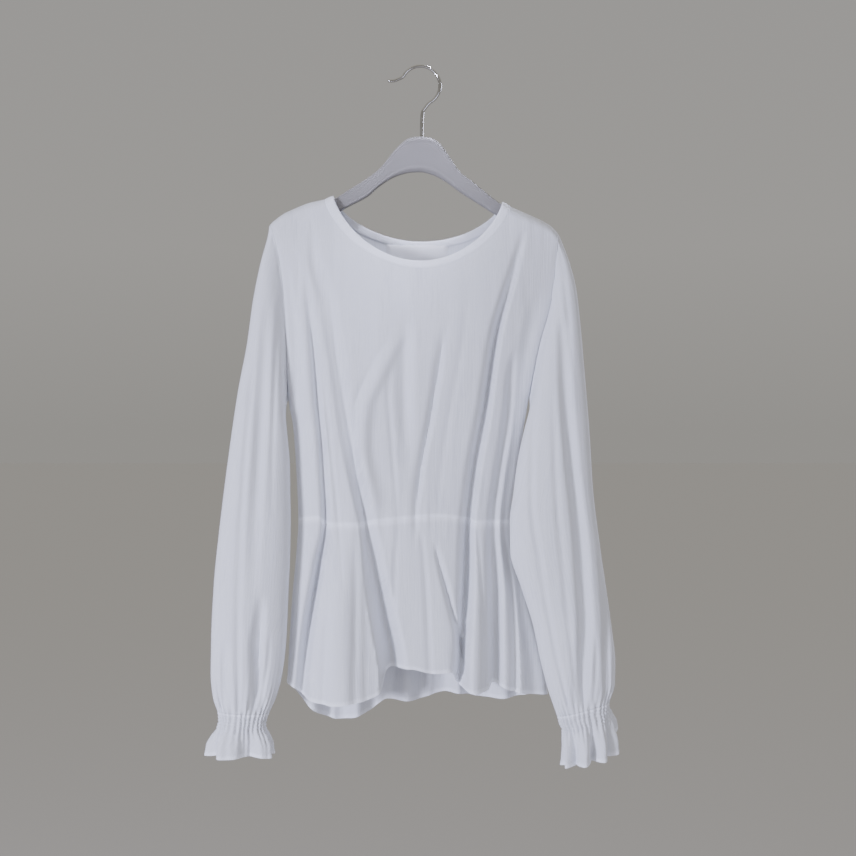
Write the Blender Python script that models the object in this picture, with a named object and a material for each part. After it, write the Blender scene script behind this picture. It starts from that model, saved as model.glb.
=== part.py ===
"""A white long-sleeved peplum top hanging on a plain plastic hanger with a wire hook.

Sizes are in millimetres until a mesh is made. The origin is the underside of the hook's
top arch, where the hook hangs. The front faces -Y, +X is the viewer's right, +Z is up.
Each cloth piece is a wall between its outer points and the same points moved inward.
"""
import math

import bmesh
import bpy
import numpy as np
from mathutils import Vector

MM = 0.001

# Cloth
WALL = 1.0
BINDING_WALL = 1.6
LABEL_WALL = 0.8
SEAM_GAP = 0.3

# Heights of the body
WAIST_Z = -512.0
HEM_Z = -700.0
BODY_CENTRE = np.array((0.0, 3.0, -400.0))
LEAST_REACH = 3.0

# Armholes: the height of the shoulder tip and of the underarm on each side
LEFT_TIP_X = -169.5
RIGHT_TIP_X = 154.0
LEFT_ARMHOLE = (-177.0, -376.0)
RIGHT_ARMHOLE = (-186.0, -372.0)
ARMHOLE_DEPTH = 13.0
RIDGE_DROP = 12.0
PROBE = 0.4

# Sleeve and cuff rings
RING_FULLNESS = 0.85
ARMHOLE_BLEND = 3.0

# Neck: the free edge of the binding, and the seam that sews it to the body
NECK_EDGE = {"left": -98.3, "right": 92.7, "left_z": -145.0, "right_z": -151.4, "front": 72.4,
             "back": 47.0}
NECK_SEAM = {"left": -108.0, "right": 101.6, "left_z": -149.0, "right_z": -157.0, "front": 76.0,
             "back": 50.0}
NECK_CURVE = 1.4
NECK_CLUSTER = -0.07
NECK_CENTRE = np.array((-3.0, 0.0, -150.0))

# Mesh steps
SHOULDER_STEPS = 9
NECK_STEPS = 22
TOP_DROPS = (0.0, 1.0, 3.5, 8.0, 15.0)
ARMHOLE_ROWS = 6
SIDE_ROWS = 5
PEPLUM_ROWS = 7
SLEEVE_RINGS = 17
CUFF_POINTS = 48
CUFF_RINGS = 6
LABEL_COLUMNS = 8
LABEL_ROWS = 4
ARCH_STEPS = 20

# Label
LABEL = {"left": -39.0, "right": 31.0, "top": -197.0, "bottom": -219.0, "lift": 2.8}

# Hook
WIRE_RADIUS = 2.0
HOOK_RADIUS = 22.0
HOOK_START = -62.0
HOOK_END = 152.0
HOOK_TIP = ((-24.5, -12.6), (-30.5, -14.6), (-37.0, -14.9))
HOOK_NECK = ((1.8, -55.0), (2.6, -49.5), (5.2, -45.5))
SHAFT_X = 1.4
SHAFT_BOTTOM = -96.0
SHAFT_RISE = (-76.0, -66.0)

# Hanger
HANGER_HALF_THICKNESS = 6.0
HANGER_STATIONS = 34
HANGER_SECTION_POINTS = 12
HANGER_SQUARENESS = 0.6
HANGER_TIP_LENGTH = 8.0
HANGER_TIP_SHARE = 0.45
SOCKET_HEIGHT = 40.0
SOCKET_CLEARANCE = 0.3


class Table:
    """Rows under named columns, read along a smooth curve by the first column."""

    def __init__(self, names, *rows):
        data = np.array(sorted(rows), float)
        self.keys = data[:, 0]
        self.columns = dict(zip(names.split(), data.T))
        self.slopes = {name: self.find_slopes(values) for name, values in self.columns.items()}

    def find_slopes(self, values):
        steps = np.diff(values) / np.diff(self.keys)
        before, after = steps[:-1], steps[1:]
        same = before * after > 0
        total = np.where(same, before + after, 1.0)
        inner = np.where(same, 2 * before * after / total, 0.0)
        return np.concatenate(([steps[0]], inner, [steps[-1]]))

    def read(self, name, key):
        key = np.clip(key, self.keys[0], self.keys[-1])
        k = np.clip(np.searchsorted(self.keys, key, side="right") - 1, 0, len(self.keys) - 2)
        values, slopes = self.columns[name], self.slopes[name]
        width = self.keys[k + 1] - self.keys[k]
        t = (key - self.keys[k]) / width
        start = (1 + 2 * t) * (1 - t) ** 2 * values[k] + t * (1 - t) ** 2 * width * slopes[k]
        end = t * t * (3 - 2 * t) * values[k + 1] - t * t * (1 - t) * width * slopes[k + 1]
        return start + end


# The body's outline by height: side edges, the plane of the side seams, and the
# depth of the front and the back from that plane
BODY = Table(
    "z left right side_y front back",
    (-145, -169.5, 154, 0, 14, 12),
    (-177, -169.5, 154, 0, 15, 13),
    (-186, -166.5, 154, 0, 16, 13),
    (-220, -158.5, 152.5, 0, 23, 15),
    (-263, -153.5, 147.5, 0, 27, 17),
    (-318, -151, 133, 0, 29, 18),
    (-374, -149.5, 122.5, 0, 30, 18),
    (-405, -144.5, 117.5, 2, 30, 18),
    (-450, -141.5, 110, 5, 30, 18),
    (-512, -139, 102.5, 6, 30, 18),
    (-545, -141, 103, 6, 31, 20),
    (-600, -146, 116, 6, 33, 24),
    (-700, -152, 139, 6, 36, 30),
    (-745, -154, 141, 6, 37, 32),
)

# The shoulder line, and how it would go on over the neck
RIDGE = Table(
    "x z",
    (-169.5, -177),
    (-161, -170),
    (-153, -164.5),
    (-142, -159.5),
    (-125, -152.8),
    (-108, -149),
    (-98.3, -145),
    (-50, -122),
    (0, -112),
    (50, -126),
    (92.7, -151.4),
    (101.6, -157),
    (123.4, -166.8),
    (136, -172.5),
    (146, -178.4),
    (154, -186),
)

WAIST = Table(
    "x z",
    (-139, -512),
    (-115, -509),
    (-104, -516),
    (-65, -516),
    (-50, -512),
    (-11, -508),
    (17, -506),
    (45, -509),
    (64, -514),
    (102.5, -514),
)

FRONT_HEM = Table(
    "x z",
    (-152, -694),
    (-141, -700),
    (-128, -710),
    (-100, -714),
    (-70, -711),
    (-50, -705),
    (-44, -700),
    (-39, -681),
    (-33, -676),
    (-10, -675),
    (16, -680),
    (36, -679),
    (41, -693),
    (60, -701),
    (74, -699),
    (80, -692),
    (90, -696),
    (100, -701),
    (122, -706),
    (139, -708),
)

BACK_HEM = Table(
    "x z",
    (-152, -694),
    (-120, -730),
    (-93, -742),
    (-60, -733),
    (-38, -719),
    (-10, -720),
    (30, -710),
    (80, -717),
    (139, -708),
)

FOLD_COLUMNS = "z x half depth"

# Grooves (positive depth) and ridges (negative) of the front, by height
FRONT_FOLDS = {
    "beside_left_sleeve": Table(
        FOLD_COLUMNS, (-215, -152, 6, 0), (-270, -145, 8, 5), (-312, -141, 9, 7), (-379, -139, 10, 6),
        (-440, -136, 9, 0)),
    "left_gap": Table(
        FOLD_COLUMNS, (-235, -129, 7, 0), (-275, -125, 9, 5), (-312, -121.5, 10, 8), (-376, -117, 10, 10),
        (-442, -111.5, 10, 10), (-512, -109, 10, 11), (-559, -117, 11, 16), (-615, -126, 12, 20),
        (-700, -136, 13, 20)),
    "left_soft": Table(
        FOLD_COLUMNS, (-190, -122, 8, 0), (-230, -112, 12, 3), (-270, -100, 13, 4), (-312, -93, 13, 5),
        (-379, -83, 13, 5), (-425, -77, 12, 5), (-475, -67, 11, 7), (-512, -59, 11, 10),
        (-565, -54, 13, 20), (-615, -45, 15, 26), (-665, -35, 17, 30), (-720, -31, 18, 32)),
    "left_crease": Table(
        FOLD_COLUMNS, (-300, -20, 8, 0), (-345, -42, 12, -3), (-386, -58, 13, -4), (-425, -60, 12, -4),
        (-480, -48, 12, -3), (-512, -42, 10, 0)),
    "centre_soft": Table(
        FOLD_COLUMNS, (-270, -14, 12, 0), (-320, -16, 16, 4), (-380, -17, 16, 4), (-434, -16, 14, 2),
        (-470, -14, 12, 0)),
    "centre_stripe": Table(
        FOLD_COLUMNS, (-290, 25, 8, 0), (-340, 18, 9, 4), (-400, 9, 9, 4), (-460, -3, 9, 4),
        (-505, -8, 8, 2), (-530, -8, 8, 0)),
    "right_deep": Table(
        FOLD_COLUMNS, (-185, 114, 7, 0), (-215, 106, 9, 5), (-253, 95.5, 10, 10), (-293, 85, 11, 13),
        (-340, 77, 12, 14), (-386, 69.5, 12, 14), (-436, 60.5, 12, 14), (-485, 54, 12, 14),
        (-512, 51, 12, 15), (-565, 49, 13, 19), (-620, 46, 13, 20), (-700, 40, 14, 20)),
    "right_mid": Table(
        FOLD_COLUMNS, (-320, 106, 8, 0), (-343, 102, 9, 5), (-393, 95.5, 10, 8), (-458, 85, 10, 9),
        (-512, 79, 10, 10), (-560, 78, 12, 14), (-640, 78, 12, 16), (-720, 79, 13, 16)),
    "behind_right_sleeve": Table(
        FOLD_COLUMNS, (-250, 134, 12, 0), (-300, 125, 14, 5), (-372, 112, 16, 8), (-420, 107, 16, 9),
        (-512, 98, 14, 8), (-600, 112, 18, 12), (-720, 128, 20, 12)),
    "right_notch": Table(
        FOLD_COLUMNS, (-525, 93, 6, 0), (-560, 94, 7, 5), (-640, 98, 8, 8), (-710, 100, 9, 9)),
    "left_flare": Table(
        FOLD_COLUMNS, (-512, -84, 22, 0), (-560, -86, 28, -5), (-620, -90, 36, -12), (-720, -91, 46, -18)),
    "right_flare": Table(
        FOLD_COLUMNS, (-512, 66, 12, 0), (-560, 64, 14, -4), (-640, 60, 17, -9), (-720, 58, 19, -11)),
    "centre_crease": Table(
        FOLD_COLUMNS, (-530, 14, 7, 0), (-579, 26, 8, 3), (-622, 36, 8, 3), (-665, 45, 8, 0)),
    "flare_crease": Table(
        FOLD_COLUMNS, (-600, -105, 8, 0), (-645, -107, 9, 4), (-720, -111, 10, 6)),
}

BACK_FOLDS = {
    "left_side": Table(
        FOLD_COLUMNS, (-230, -118, 10, 0), (-330, -116, 14, 6), (-440, -108, 14, 8), (-512, -104, 14, 8),
        (-600, -114, 16, 14), (-730, -124, 18, 16)),
    "left_mid": Table(
        FOLD_COLUMNS, (-260, -44, 12, 0), (-350, -52, 15, 5), (-450, -58, 14, 7), (-512, -60, 13, 8),
        (-600, -66, 16, 14), (-730, -72, 18, 16)),
    "centre": Table(
        FOLD_COLUMNS, (-300, 6, 12, 0), (-380, 2, 15, 4), (-460, -4, 14, 6), (-512, -8, 12, 7),
        (-600, -12, 15, 13), (-730, -18, 17, 15)),
    "right_mid": Table(
        FOLD_COLUMNS, (-240, 66, 12, 0), (-330, 58, 15, 6), (-440, 48, 14, 7), (-512, 42, 13, 8),
        (-600, 40, 16, 13), (-730, 36, 18, 15)),
    "right_side": Table(
        FOLD_COLUMNS, (-280, 112, 10, 0), (-370, 106, 14, 6), (-460, 97, 14, 8), (-512, 92, 13, 8),
        (-600, 92, 15, 14), (-730, 92, 17, 15)),
}

RING_COLUMNS = "row outer_x outer_z inner_x inner_z centre_y half_depth bow"

# Rings of each sleeve from the armhole (row 0) to the cuff seam
LEFT_SLEEVE = Table(
    RING_COLUMNS,
    (0, -169.5, -177, -150, -376, 0, 13, 0),
    (1, -173.5, -200, -152.5, -385, -4, 15, 3),
    (2, -180, -222, -152, -394, -7, 17, 4),
    (3, -188, -263, -150.5, -407, -9, 19, 4),
    (4, -194.5, -312, -148.5, -425, -11, 20, 3),
    (5, -204.5, -366, -146.5, -450, -12, 21, 1),
    (6, -213, -425, -146, -480, -13, 22, 0),
    (7, -219.5, -475, -145.5, -512, -14, 23, 0),
    (8, -225.5, -525, -146, -547, -14, 24, 0),
    (9, -231, -580, -148, -592, -14, 24, 0),
    (10, -234, -640, -150.5, -645, -14, 23, 0),
    (11, -234.5, -680, -155, -682, -14, 22, 0),
    (12, -232, -706, -162, -708, -14, 19, 0),
    (13, -226, -724, -170.5, -726, -14, 16, 0),
)

RIGHT_SLEEVE = Table(
    RING_COLUMNS,
    (0, 154, -186, 122.5, -372, 0, 13, 0),
    (1, 164, -207, 123.8, -388, -4, 15, 2),
    (2, 170, -228, 122.5, -391, -10, 17, 4),
    (3, 175, -255, 118, -404, -15, 18, 4),
    (4, 178.5, -290, 113, -422, -19, 19, 2),
    (5, 183, -346, 107.5, -450, -22, 20, 0),
    (6, 188, -409, 103.5, -480, -24, 21, 0),
    (7, 192, -475, 99.5, -512, -25, 21, 0),
    (8, 199, -533, 100, -545, -25, 22, 0),
    (9, 207, -588, 112, -584, -25, 22, 0),
    (10, 213, -632, 125, -625, -25, 22, 0),
    (11, 216.5, -665, 133.5, -665, -25, 21, 0),
    (12, 216, -690, 142, -697, -25, 18, 0),
    (13, 209, -712, 153, -727, -25, 15, 0),
)

SLEEVE_FOLDS = {
    "left_long": Table(
        FOLD_COLUMNS, (-260, -172, 8, 0), (-330, -175, 10, 4), (-420, -179, 11, 5), (-520, -184, 11, 3),
        (-600, -186, 9, 0)),
    "left_wrist": Table(
        FOLD_COLUMNS, (-590, -176, 8, 0), (-619, -178, 10, 5), (-651, -181, 11, 8), (-692, -181, 10, 8),
        (-724, -187, 8, 4)),
    "left_outer": Table(
        FOLD_COLUMNS, (-640, -216, 7, 0), (-665, -217, 8, 3), (-705, -217, 8, 3), (-724, -216, 6, 0)),
    "right_long": Table(
        FOLD_COLUMNS, (-280, 157, 8, 0), (-306, 159, 9, 4), (-379, 162, 11, 7), (-442, 167, 11, 8),
        (-492, 172, 11, 8), (-566, 177, 12, 9), (-632, 182, 12, 9), (-679, 180, 10, 8), (-722, 182, 8, 3)),
    "right_outer": Table(
        FOLD_COLUMNS, (-540, 200, 7, 0), (-566, 202, 8, 4), (-632, 206, 8, 5), (-700, 206, 7, 3)),
}

CUFF_COLUMNS = "row outer_x outer_z inner_x inner_z centre_y half_depth wave"

# Rings of each cuff from its seam: the shirred band, then the frill
LEFT_CUFF = Table(
    CUFF_COLUMNS,
    (0, -226, -724.3, -170.5, -726.3, -14, 16, 0),
    (1, -225, -733, -173, -734, -14, 15, 0.3),
    (2, -226, -742, -174, -742, -14, 15, 1),
    (3, -231, -752, -170, -751, -14, 17, 3),
    (4, -234, -762, -167, -761, -14, 19, 5),
    (5, -234, -773, -167, -773, -14, 21, 6.5),
)

RIGHT_CUFF = Table(
    CUFF_COLUMNS,
    (0, 209.1, -712.3, 153.1, -727.3, -25, 15, 0),
    (1, 208.5, -721, 155.5, -736, -25, 14, 0.3),
    (2, 209.5, -731, 159, -744, -25, 14, 1),
    (3, 211, -743, 160, -755, -25, 16, 3),
    (4, 212, -756, 161, -768, -25, 18, 5),
    (5, 211, -772, 161, -782, -25, 20, 6.5),
)

LEFT_FRILL = {"waves": 5, "phase": 0.29, "flipped": False}
RIGHT_FRILL = {"waves": 8, "phase": 4.77, "flipped": True}
FRILL_DROP = 0.8
SHIRR_RIPPLES = 24
SHIRR_DEPTH = 0.6

# The rear outer part of the right frill is turned up and out
FLIP_ANGLE = 5.7
FLIP_WIDTH = 0.55
FLIP_OUT = 10.0
FLIP_UP = 30.0

# The hanger's outline from the front
HANGER = Table(
    "x top bottom",
    (-161, -178.5, -181.5),
    (-157, -172.3, -185.0),
    (-150, -165.2, -182.5),
    (-125, -155, -173.5),
    (-108, -152, -169),
    (-98, -148.6, -166),
    (-80, -137.5, -156.5),
    (-60, -125, -146),
    (-46, -114, -134),
    (-31, -95.5, -124.5),
    (-22, -86, -121),
    (-12, -79.5, -118.6),
    (0, -78, -118),
    (12, -79.5, -120.6),
    (22, -86, -125),
    (33, -101, -132),
    (45, -118, -141),
    (60, -129.5, -150.5),
    (75, -142, -160),
    (92, -155, -171),
    (105, -163, -179),
    (123, -169.5, -185),
    (140, -177.2, -193),
    (144.5, -183, -195.5),
    (148.5, -189.5, -192.5),
)


def armhole_open(x_middle, x, z):
    """1 at the shoulder tip, falling to 0 at the underarm, on the side that x is on."""
    tip = np.where(x < x_middle, LEFT_ARMHOLE[0], RIGHT_ARMHOLE[0])
    under = np.where(x < x_middle, LEFT_ARMHOLE[1], RIGHT_ARMHOLE[1])
    down = np.clip((tip - z) / (tip - under), 0, 1)
    return np.sqrt(1 - down ** 4)


def fold_depth(folds, x, z):
    """How far the folds push the cloth in at x, z."""
    total = np.zeros(np.shape(x))
    for fold in folds.values():
        across = np.clip((x - fold.read("x", z)) / fold.read("half", z), -1, 1)
        total = total + fold.read("depth", z) * np.cos(across * math.pi / 2) ** 2
    return total


def body_y(x, z, facing):
    """Y of the body's cloth at x, z: facing is -1 for the front, 1 for the back, 0 for the side plane."""
    left, right = BODY.read("left", z), BODY.read("right", z)
    middle = (left + right) / 2
    across = np.clip(abs(x - middle) / ((right - left) / 2), 0, 1)
    front = facing < 0
    depth = np.where(front, BODY.read("front", z), BODY.read("back", z))
    opened = armhole_open(middle, x, z)
    edge = ARMHOLE_DEPTH * opened
    crown = (1 - across ** 3) ** (0.5 + 0.5 * opened)
    below = np.clip((RIDGE.read("z", x) - z) / RIDGE_DROP, 0, 1)
    rounding = np.sqrt(1 - (1 - below) ** 2)
    folds = np.where(front, fold_depth(FRONT_FOLDS, x, z), fold_depth(BACK_FOLDS, x, z))
    full = edge + (depth - edge) * crown
    folded = np.maximum(full - folds * (1 - across ** 8), np.minimum(full, LEAST_REACH))
    reach = folded * rounding + SEAM_GAP / 2
    return BODY.read("side_y", z) + facing * reach


def neck_point(neck, angle, facing):
    """A point of a neck curve in the front view, from the left peak (0) to the right peak (pi)."""
    middle, half = (neck["left"] + neck["right"]) / 2, (neck["right"] - neck["left"]) / 2
    x = middle - half * np.cos(angle)
    share = (x - neck["left"]) / (2 * half)
    peak = neck["left_z"] + (neck["right_z"] - neck["left_z"]) * share
    depth = np.where(facing < 0, neck["front"], neck["back"])
    return x, peak - depth * abs(np.sin(angle)) ** NECK_CURVE


def unit(vectors):
    return vectors / np.maximum(np.linalg.norm(vectors, axis=-1, keepdims=True), 1e-9)


def slopes_along(points, axis, closed):
    if closed:
        return np.roll(points, -1, axis) - np.roll(points, 1, axis)
    return np.gradient(points, axis=axis)


def inward_of(points, closed, centre_hint):
    """Unit vectors across the cloth at each point of a grid, on the side of centre_hint."""
    across = slopes_along(points, 1, closed)
    down = slopes_along(points, 0, False)
    normal = unit(np.cross(across, down))
    turned = np.sum(normal * (centre_hint - points)) < 0
    return -normal if turned else normal


def armhole_inward(z, side_x, facing):
    """Direction into the armhole's loop, in the plane of the loop."""
    low_z, high_z = z - PROBE, z + PROBE
    change = body_y(side_x(high_z), high_z, facing) - body_y(side_x(low_z), low_z, facing)
    climb = np.hypot(side_x(high_z) - side_x(low_z), 2 * PROBE)
    level = np.array((0.0, 1.0, 0.0)) * climb[..., None]
    turned = level - armhole_rise(z, side_x) * change[..., None]
    return unit(turned) * np.where(facing < 0, 1, -1)[..., None]


def armhole_rise(z, side_x):
    """Direction up along a body edge in the front view."""
    lean = side_x(z + PROBE) - side_x(z - PROBE)
    return unit(np.stack([lean, np.zeros_like(z), np.full_like(z, 2 * PROBE)], -1))


def left_edge(z):
    return BODY.read("left", z)


def right_edge(z):
    return BODY.read("right", z)


def side_inward(points, inward, column, side_x, armhole, facing):
    """Sets a body panel's side edge: into the loop at the armhole, level at the side seam."""
    z = points[:, column, 2]
    loop = armhole_inward(z, side_x, np.full_like(z, facing))
    level = inward[:, column] * (1, 0, 0)
    on_loop = (z > armhole[1] + 1)[:, None]
    inward[:, column] = unit(np.where(on_loop, loop, level))
    underarm = abs(z - armhole[1]) < 1
    inward[underarm, column] = armhole_rise(z, side_x)[underarm]


def waist_shares(count):
    """Where the columns lie across the body, closer together near the side seams."""
    even = np.linspace(0, 1, count + 1)
    return 0.7 * even + 0.3 * (1 - np.cos(math.pi * even)) / 2


def body_points(share, z, facing):
    x = left_edge(z) + share * (right_edge(z) - left_edge(z))
    return np.stack([x, body_y(x, z, facing), z], -1)


def steps_to(start, end, count):
    """Rows from just after start to end."""
    steps = np.linspace(0, 1, count + 1)[1:, None]
    return start + steps * (end - start)


def heights_to(top, underarm):
    """The heights of the rows from a top edge to the level of the underarms."""
    drops = top - np.array(TOP_DROPS)[:, None]
    return np.concatenate([drops, steps_to(drops[-1], underarm, ARMHOLE_ROWS)])


def neck_angles():
    even = np.linspace(0, math.pi, NECK_STEPS + 1)
    return even - NECK_CLUSTER * np.sin(2 * even)


def bodice_grid(facing):
    """Outer points and inward vectors of the front or back bodice, from the top edge to the waist."""
    angle = neck_angles()[1:-1]
    neck_x, neck_z = neck_point(NECK_SEAM, angle, np.full_like(angle, facing))
    left_x = np.linspace(LEFT_TIP_X, NECK_SEAM["left"], SHOULDER_STEPS + 1)
    right_x = np.linspace(NECK_SEAM["right"], RIGHT_TIP_X, SHOULDER_STEPS + 1)
    top_x = np.concatenate([left_x, neck_x, right_x])
    top_z = np.concatenate([RIDGE.read("z", left_x), neck_z, RIDGE.read("z", right_x)])
    top_share = (top_x - left_edge(top_z)) / (right_edge(top_z) - left_edge(top_z))
    low_share = waist_shares(len(top_x) - 1)
    low_x = left_edge(WAIST_Z) + low_share * (right_edge(WAIST_Z) - left_edge(WAIST_Z))
    low_z = WAIST.read("z", low_x) + SEAM_GAP / 2
    underarm_z = np.interp(low_share, (0, 1), (LEFT_ARMHOLE[1], RIGHT_ARMHOLE[1]))
    z = np.concatenate([heights_to(top_z, underarm_z), steps_to(underarm_z, low_z, SIDE_ROWS)])
    height = (z - low_z) / (top_z - low_z)
    share = low_share + (top_share - low_share) * height
    points = body_points(share, z, facing)
    inward = inward_of(points, False, BODY_CENTRE)
    shoulder = np.r_[0:SHOULDER_STEPS + 1, len(top_x) - SHOULDER_STEPS - 1:len(top_x)]
    inward[0, shoulder, 1] = 0
    inward[-1, :, 2] = 0
    across = binding_across(neck_angles(), np.full(NECK_STEPS + 1, facing))
    neck = inward[0, SHOULDER_STEPS:-SHOULDER_STEPS]
    neck -= np.sum(neck * across, -1, keepdims=True) * across
    side_inward(points, inward, 0, left_edge, LEFT_ARMHOLE, facing)
    side_inward(points, inward, -1, right_edge, RIGHT_ARMHOLE, facing)
    inward[0, [0, -1]] = (0, 0, -1)
    inward[0, [SHOULDER_STEPS, -SHOULDER_STEPS - 1]] = (0, 0, -1)
    return points, unit(inward)


def peplum_grid(facing, hem):
    share = waist_shares(2 * SHOULDER_STEPS + NECK_STEPS)
    low_x = left_edge(WAIST_Z) + share * (right_edge(WAIST_Z) - left_edge(WAIST_Z))
    top = WAIST.read("z", low_x) - SEAM_GAP / 2
    hem_x = left_edge(HEM_Z) + share * (right_edge(HEM_Z) - left_edge(HEM_Z))
    steps = np.linspace(0, 1, PEPLUM_ROWS + 1)[:, None]
    z = top + steps * (hem.read("z", hem_x) - top)
    points = body_points(np.broadcast_to(share, z.shape), z, facing)
    inward = inward_of(points, False, BODY_CENTRE)
    inward[0, :, 2] = 0
    inward[:, [0, -1], 1] = 0
    return points, unit(inward)


def ring_points(table, row, angle):
    """A ring of a sleeve or cuff: angle 0 is its outer edge, pi/2 its front, pi its inner edge."""
    outer = np.stack([table.read("outer_x", row), table.read("outer_z", row)], -1)
    inner = np.stack([table.read("inner_x", row), table.read("inner_z", row)], -1)
    share = (1 + np.cos(angle))[..., None] / 2
    flat = inner + (outer - inner) * share
    reach = np.sign(np.sin(angle)) * abs(np.sin(angle)) ** RING_FULLNESS
    y = table.read("centre_y", row) - table.read("half_depth", row) * reach
    return np.stack([flat[..., 0], y, flat[..., 1]], -1)


def sleeve_grid(table, side_x, armhole, outward):
    tip, under = armhole
    loop_z = heights_to(np.array([tip]), np.array([under]))[:, 0]
    loop_angle = np.arccos(1 - 2 * (tip - loop_z) / (tip - under))
    loop_angle = np.concatenate([loop_angle, 2 * math.pi - loop_angle[-2:0:-1]])
    even_angle = np.linspace(0, 2 * math.pi, len(loop_angle) + 1)[:-1]
    row = np.linspace(0, table.keys[-1], SLEEVE_RINGS + 1)[:, None]
    joined = np.clip(row / ARMHOLE_BLEND, 0, 1)
    joined = np.sin(joined * math.pi / 2)
    angle = loop_angle + (even_angle - loop_angle) * joined
    row = np.broadcast_to(row, angle.shape)
    points = ring_points(table, row, angle)
    front = np.maximum(np.sin(angle), 0)
    points[..., 0] -= outward * table.read("bow", row) * front
    pushed = fold_depth(SLEEVE_FOLDS, points[..., 0], points[..., 2])
    points[..., 1] += pushed * front ** 0.5
    facing = -np.sign(np.round(np.sin(angle), 6))
    z = tip + (under - tip) * (1 - np.cos(angle)) / 2
    loop_x = side_x(z)
    loop = np.stack([loop_x + outward * SEAM_GAP, body_y(loop_x, z, facing), z], -1)
    points = loop + (points - loop) * joined[..., None]
    inward = tube_inward(points)
    into_loop = armhole_inward(z[0], side_x, facing[0])
    into_loop[facing[0] == 0] = (0, 0, 0)
    into_loop[0] = (0, 0, -1)
    underarm = len(z[0]) // 2
    into_loop[underarm] = armhole_rise(z[0], side_x)[underarm]
    inward[0] = into_loop
    return points, unit(inward)


def tube_inward(points):
    """Inward vectors of a tube; those of the last and first rings stay in the plane of their ring."""
    inward = inward_of(points, True, points.mean(axis=1, keepdims=True))
    for ring in (0, -1):
        half = points.shape[1] // 2
        along = points[ring, half] - points[ring, 0]
        axis = unit(np.cross(along, (0, 1, 0)))
        inward[ring] -= np.sum(inward[ring] * axis, -1, keepdims=True) * axis
    return unit(inward)


def flip_up(points, row_share, angle):
    """Turns a frill's rear outer part up and outward."""
    turned = (angle - FLIP_ANGLE + math.pi) % (2 * math.pi) - math.pi
    share = np.exp(-(turned / FLIP_WIDTH) ** 2)
    points[..., 0] += FLIP_OUT * share * row_share ** 0.7
    points[..., 2] += FLIP_UP * share * row_share ** 1.2


def cuff_grid(table, frill):
    row = np.linspace(0, table.keys[-1], CUFF_RINGS + 1)[:, None]
    angle = np.linspace(0, 2 * math.pi, CUFF_POINTS + 1)[None, :-1]
    row, angle = np.broadcast_arrays(row, angle)
    points = ring_points(table, row, angle)
    from_axis = points - points.mean(axis=(0, 1))
    out = unit(from_axis * (1, 2, 0))
    wave = table.read("wave", row)
    swing = np.cos(frill["waves"] * angle + frill["phase"] + 0.7 * np.sin(2 * angle))
    band = np.clip(1 - abs(row - 1) / 1.2, 0, 1)
    ripple = SHIRR_DEPTH * band * np.cos(SHIRR_RIPPLES * angle)
    points = points + out * (wave * swing + ripple)[..., None]
    row_share = row / table.keys[-1]
    points[..., 2] -= FRILL_DROP * row_share ** 2 * swing
    if frill["flipped"]:
        flip_up(points, row_share, angle)
    return points, tube_inward(points)


def binding_across(angle, facing):
    """Unit vectors from the binding's free edge to its seam."""
    edge_x, edge_z = neck_point(NECK_EDGE, angle, facing)
    seam_x, seam_z = neck_point(NECK_SEAM, angle, facing)
    edge_y, seam_y = body_y(edge_x, edge_z, facing), body_y(seam_x, seam_z, facing)
    return unit(np.stack([seam_x - edge_x, seam_y - edge_y, seam_z - edge_z], -1))


def binding_grid():
    """The neck binding: a ring of two columns, from the free edge to the seam."""
    half_turn = neck_angles()
    angle = np.concatenate([half_turn, 2 * math.pi - half_turn[-2:0:-1]])
    facing = -np.sign(np.round(np.sin(angle), 6))
    edge_x, edge_z = neck_point(NECK_EDGE, angle, facing)
    seam_x, seam_z = neck_point(NECK_SEAM, angle, facing)
    width = np.hypot(seam_x - edge_x, seam_z - edge_z)
    rows = []
    for share in (0.0, 0.5, 1.0):
        reach = share * (1 - SEAM_GAP / width)
        x = edge_x + (seam_x - edge_x) * reach
        z = edge_z + (seam_z - edge_z) * reach
        rows.append(np.stack([x, body_y(x, z, facing), z], -1))
    points = np.stack(rows)
    inward = inward_of(points, True, NECK_CENTRE)
    across = binding_across(angle, facing)
    inward -= np.sum(inward * across, -1, keepdims=True) * across
    inward[:, [0, NECK_STEPS], 1] = 0
    return points, unit(inward)


def label_grid():
    x = np.linspace(LABEL["left"], LABEL["right"], LABEL_COLUMNS)[None, :]
    z = np.linspace(LABEL["top"], LABEL["bottom"], LABEL_ROWS)[:, None]
    x, z = np.broadcast_arrays(x, z)
    y = body_y(x, z, 1) - LABEL["lift"]
    return np.stack([x, y, z], -1), np.broadcast_to((0.0, 1.0, 0.0), x.shape + (3,))


def cloth_wall(name, grid, thickness, closed, material):
    """Makes a cloth piece from its outer points and inward vectors, with rims round its open edges."""
    outer, inward = grid
    layers = (outer, outer + inward * thickness)
    bm = bmesh.new()
    verts = [[[bm.verts.new(point * MM) for point in row] for row in layer] for layer in layers]
    rows, columns = outer.shape[:2]
    last_column = columns if closed else columns - 1
    for r in range(rows - 1):
        for c in range(last_column):
            n = (c + 1) % columns
            fall, climb = outer[r, c] - outer[r + 1, n], outer[r, n] - outer[r + 1, c]
            falling = np.linalg.norm(fall) < np.linalg.norm(climb)
            for layer in verts:
                a, b, d, e = layer[r][c], layer[r][n], layer[r + 1][n], layer[r + 1][c]
                for corners in ((a, b, d), (a, d, e)) if falling else ((a, b, e), (b, d, e)):
                    bm.faces.new(corners)
    front, back = verts
    for r in (0, rows - 1):
        for c in range(last_column):
            n = (c + 1) % columns
            bm.faces.new((front[r][c], front[r][n], back[r][n], back[r][c]))
    if not closed:
        for c in (0, columns - 1):
            for r in range(rows - 1):
                bm.faces.new((front[r][c], front[r + 1][c], back[r + 1][c], back[r][c]))
    return finish_mesh(name, bm, material)


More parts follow.
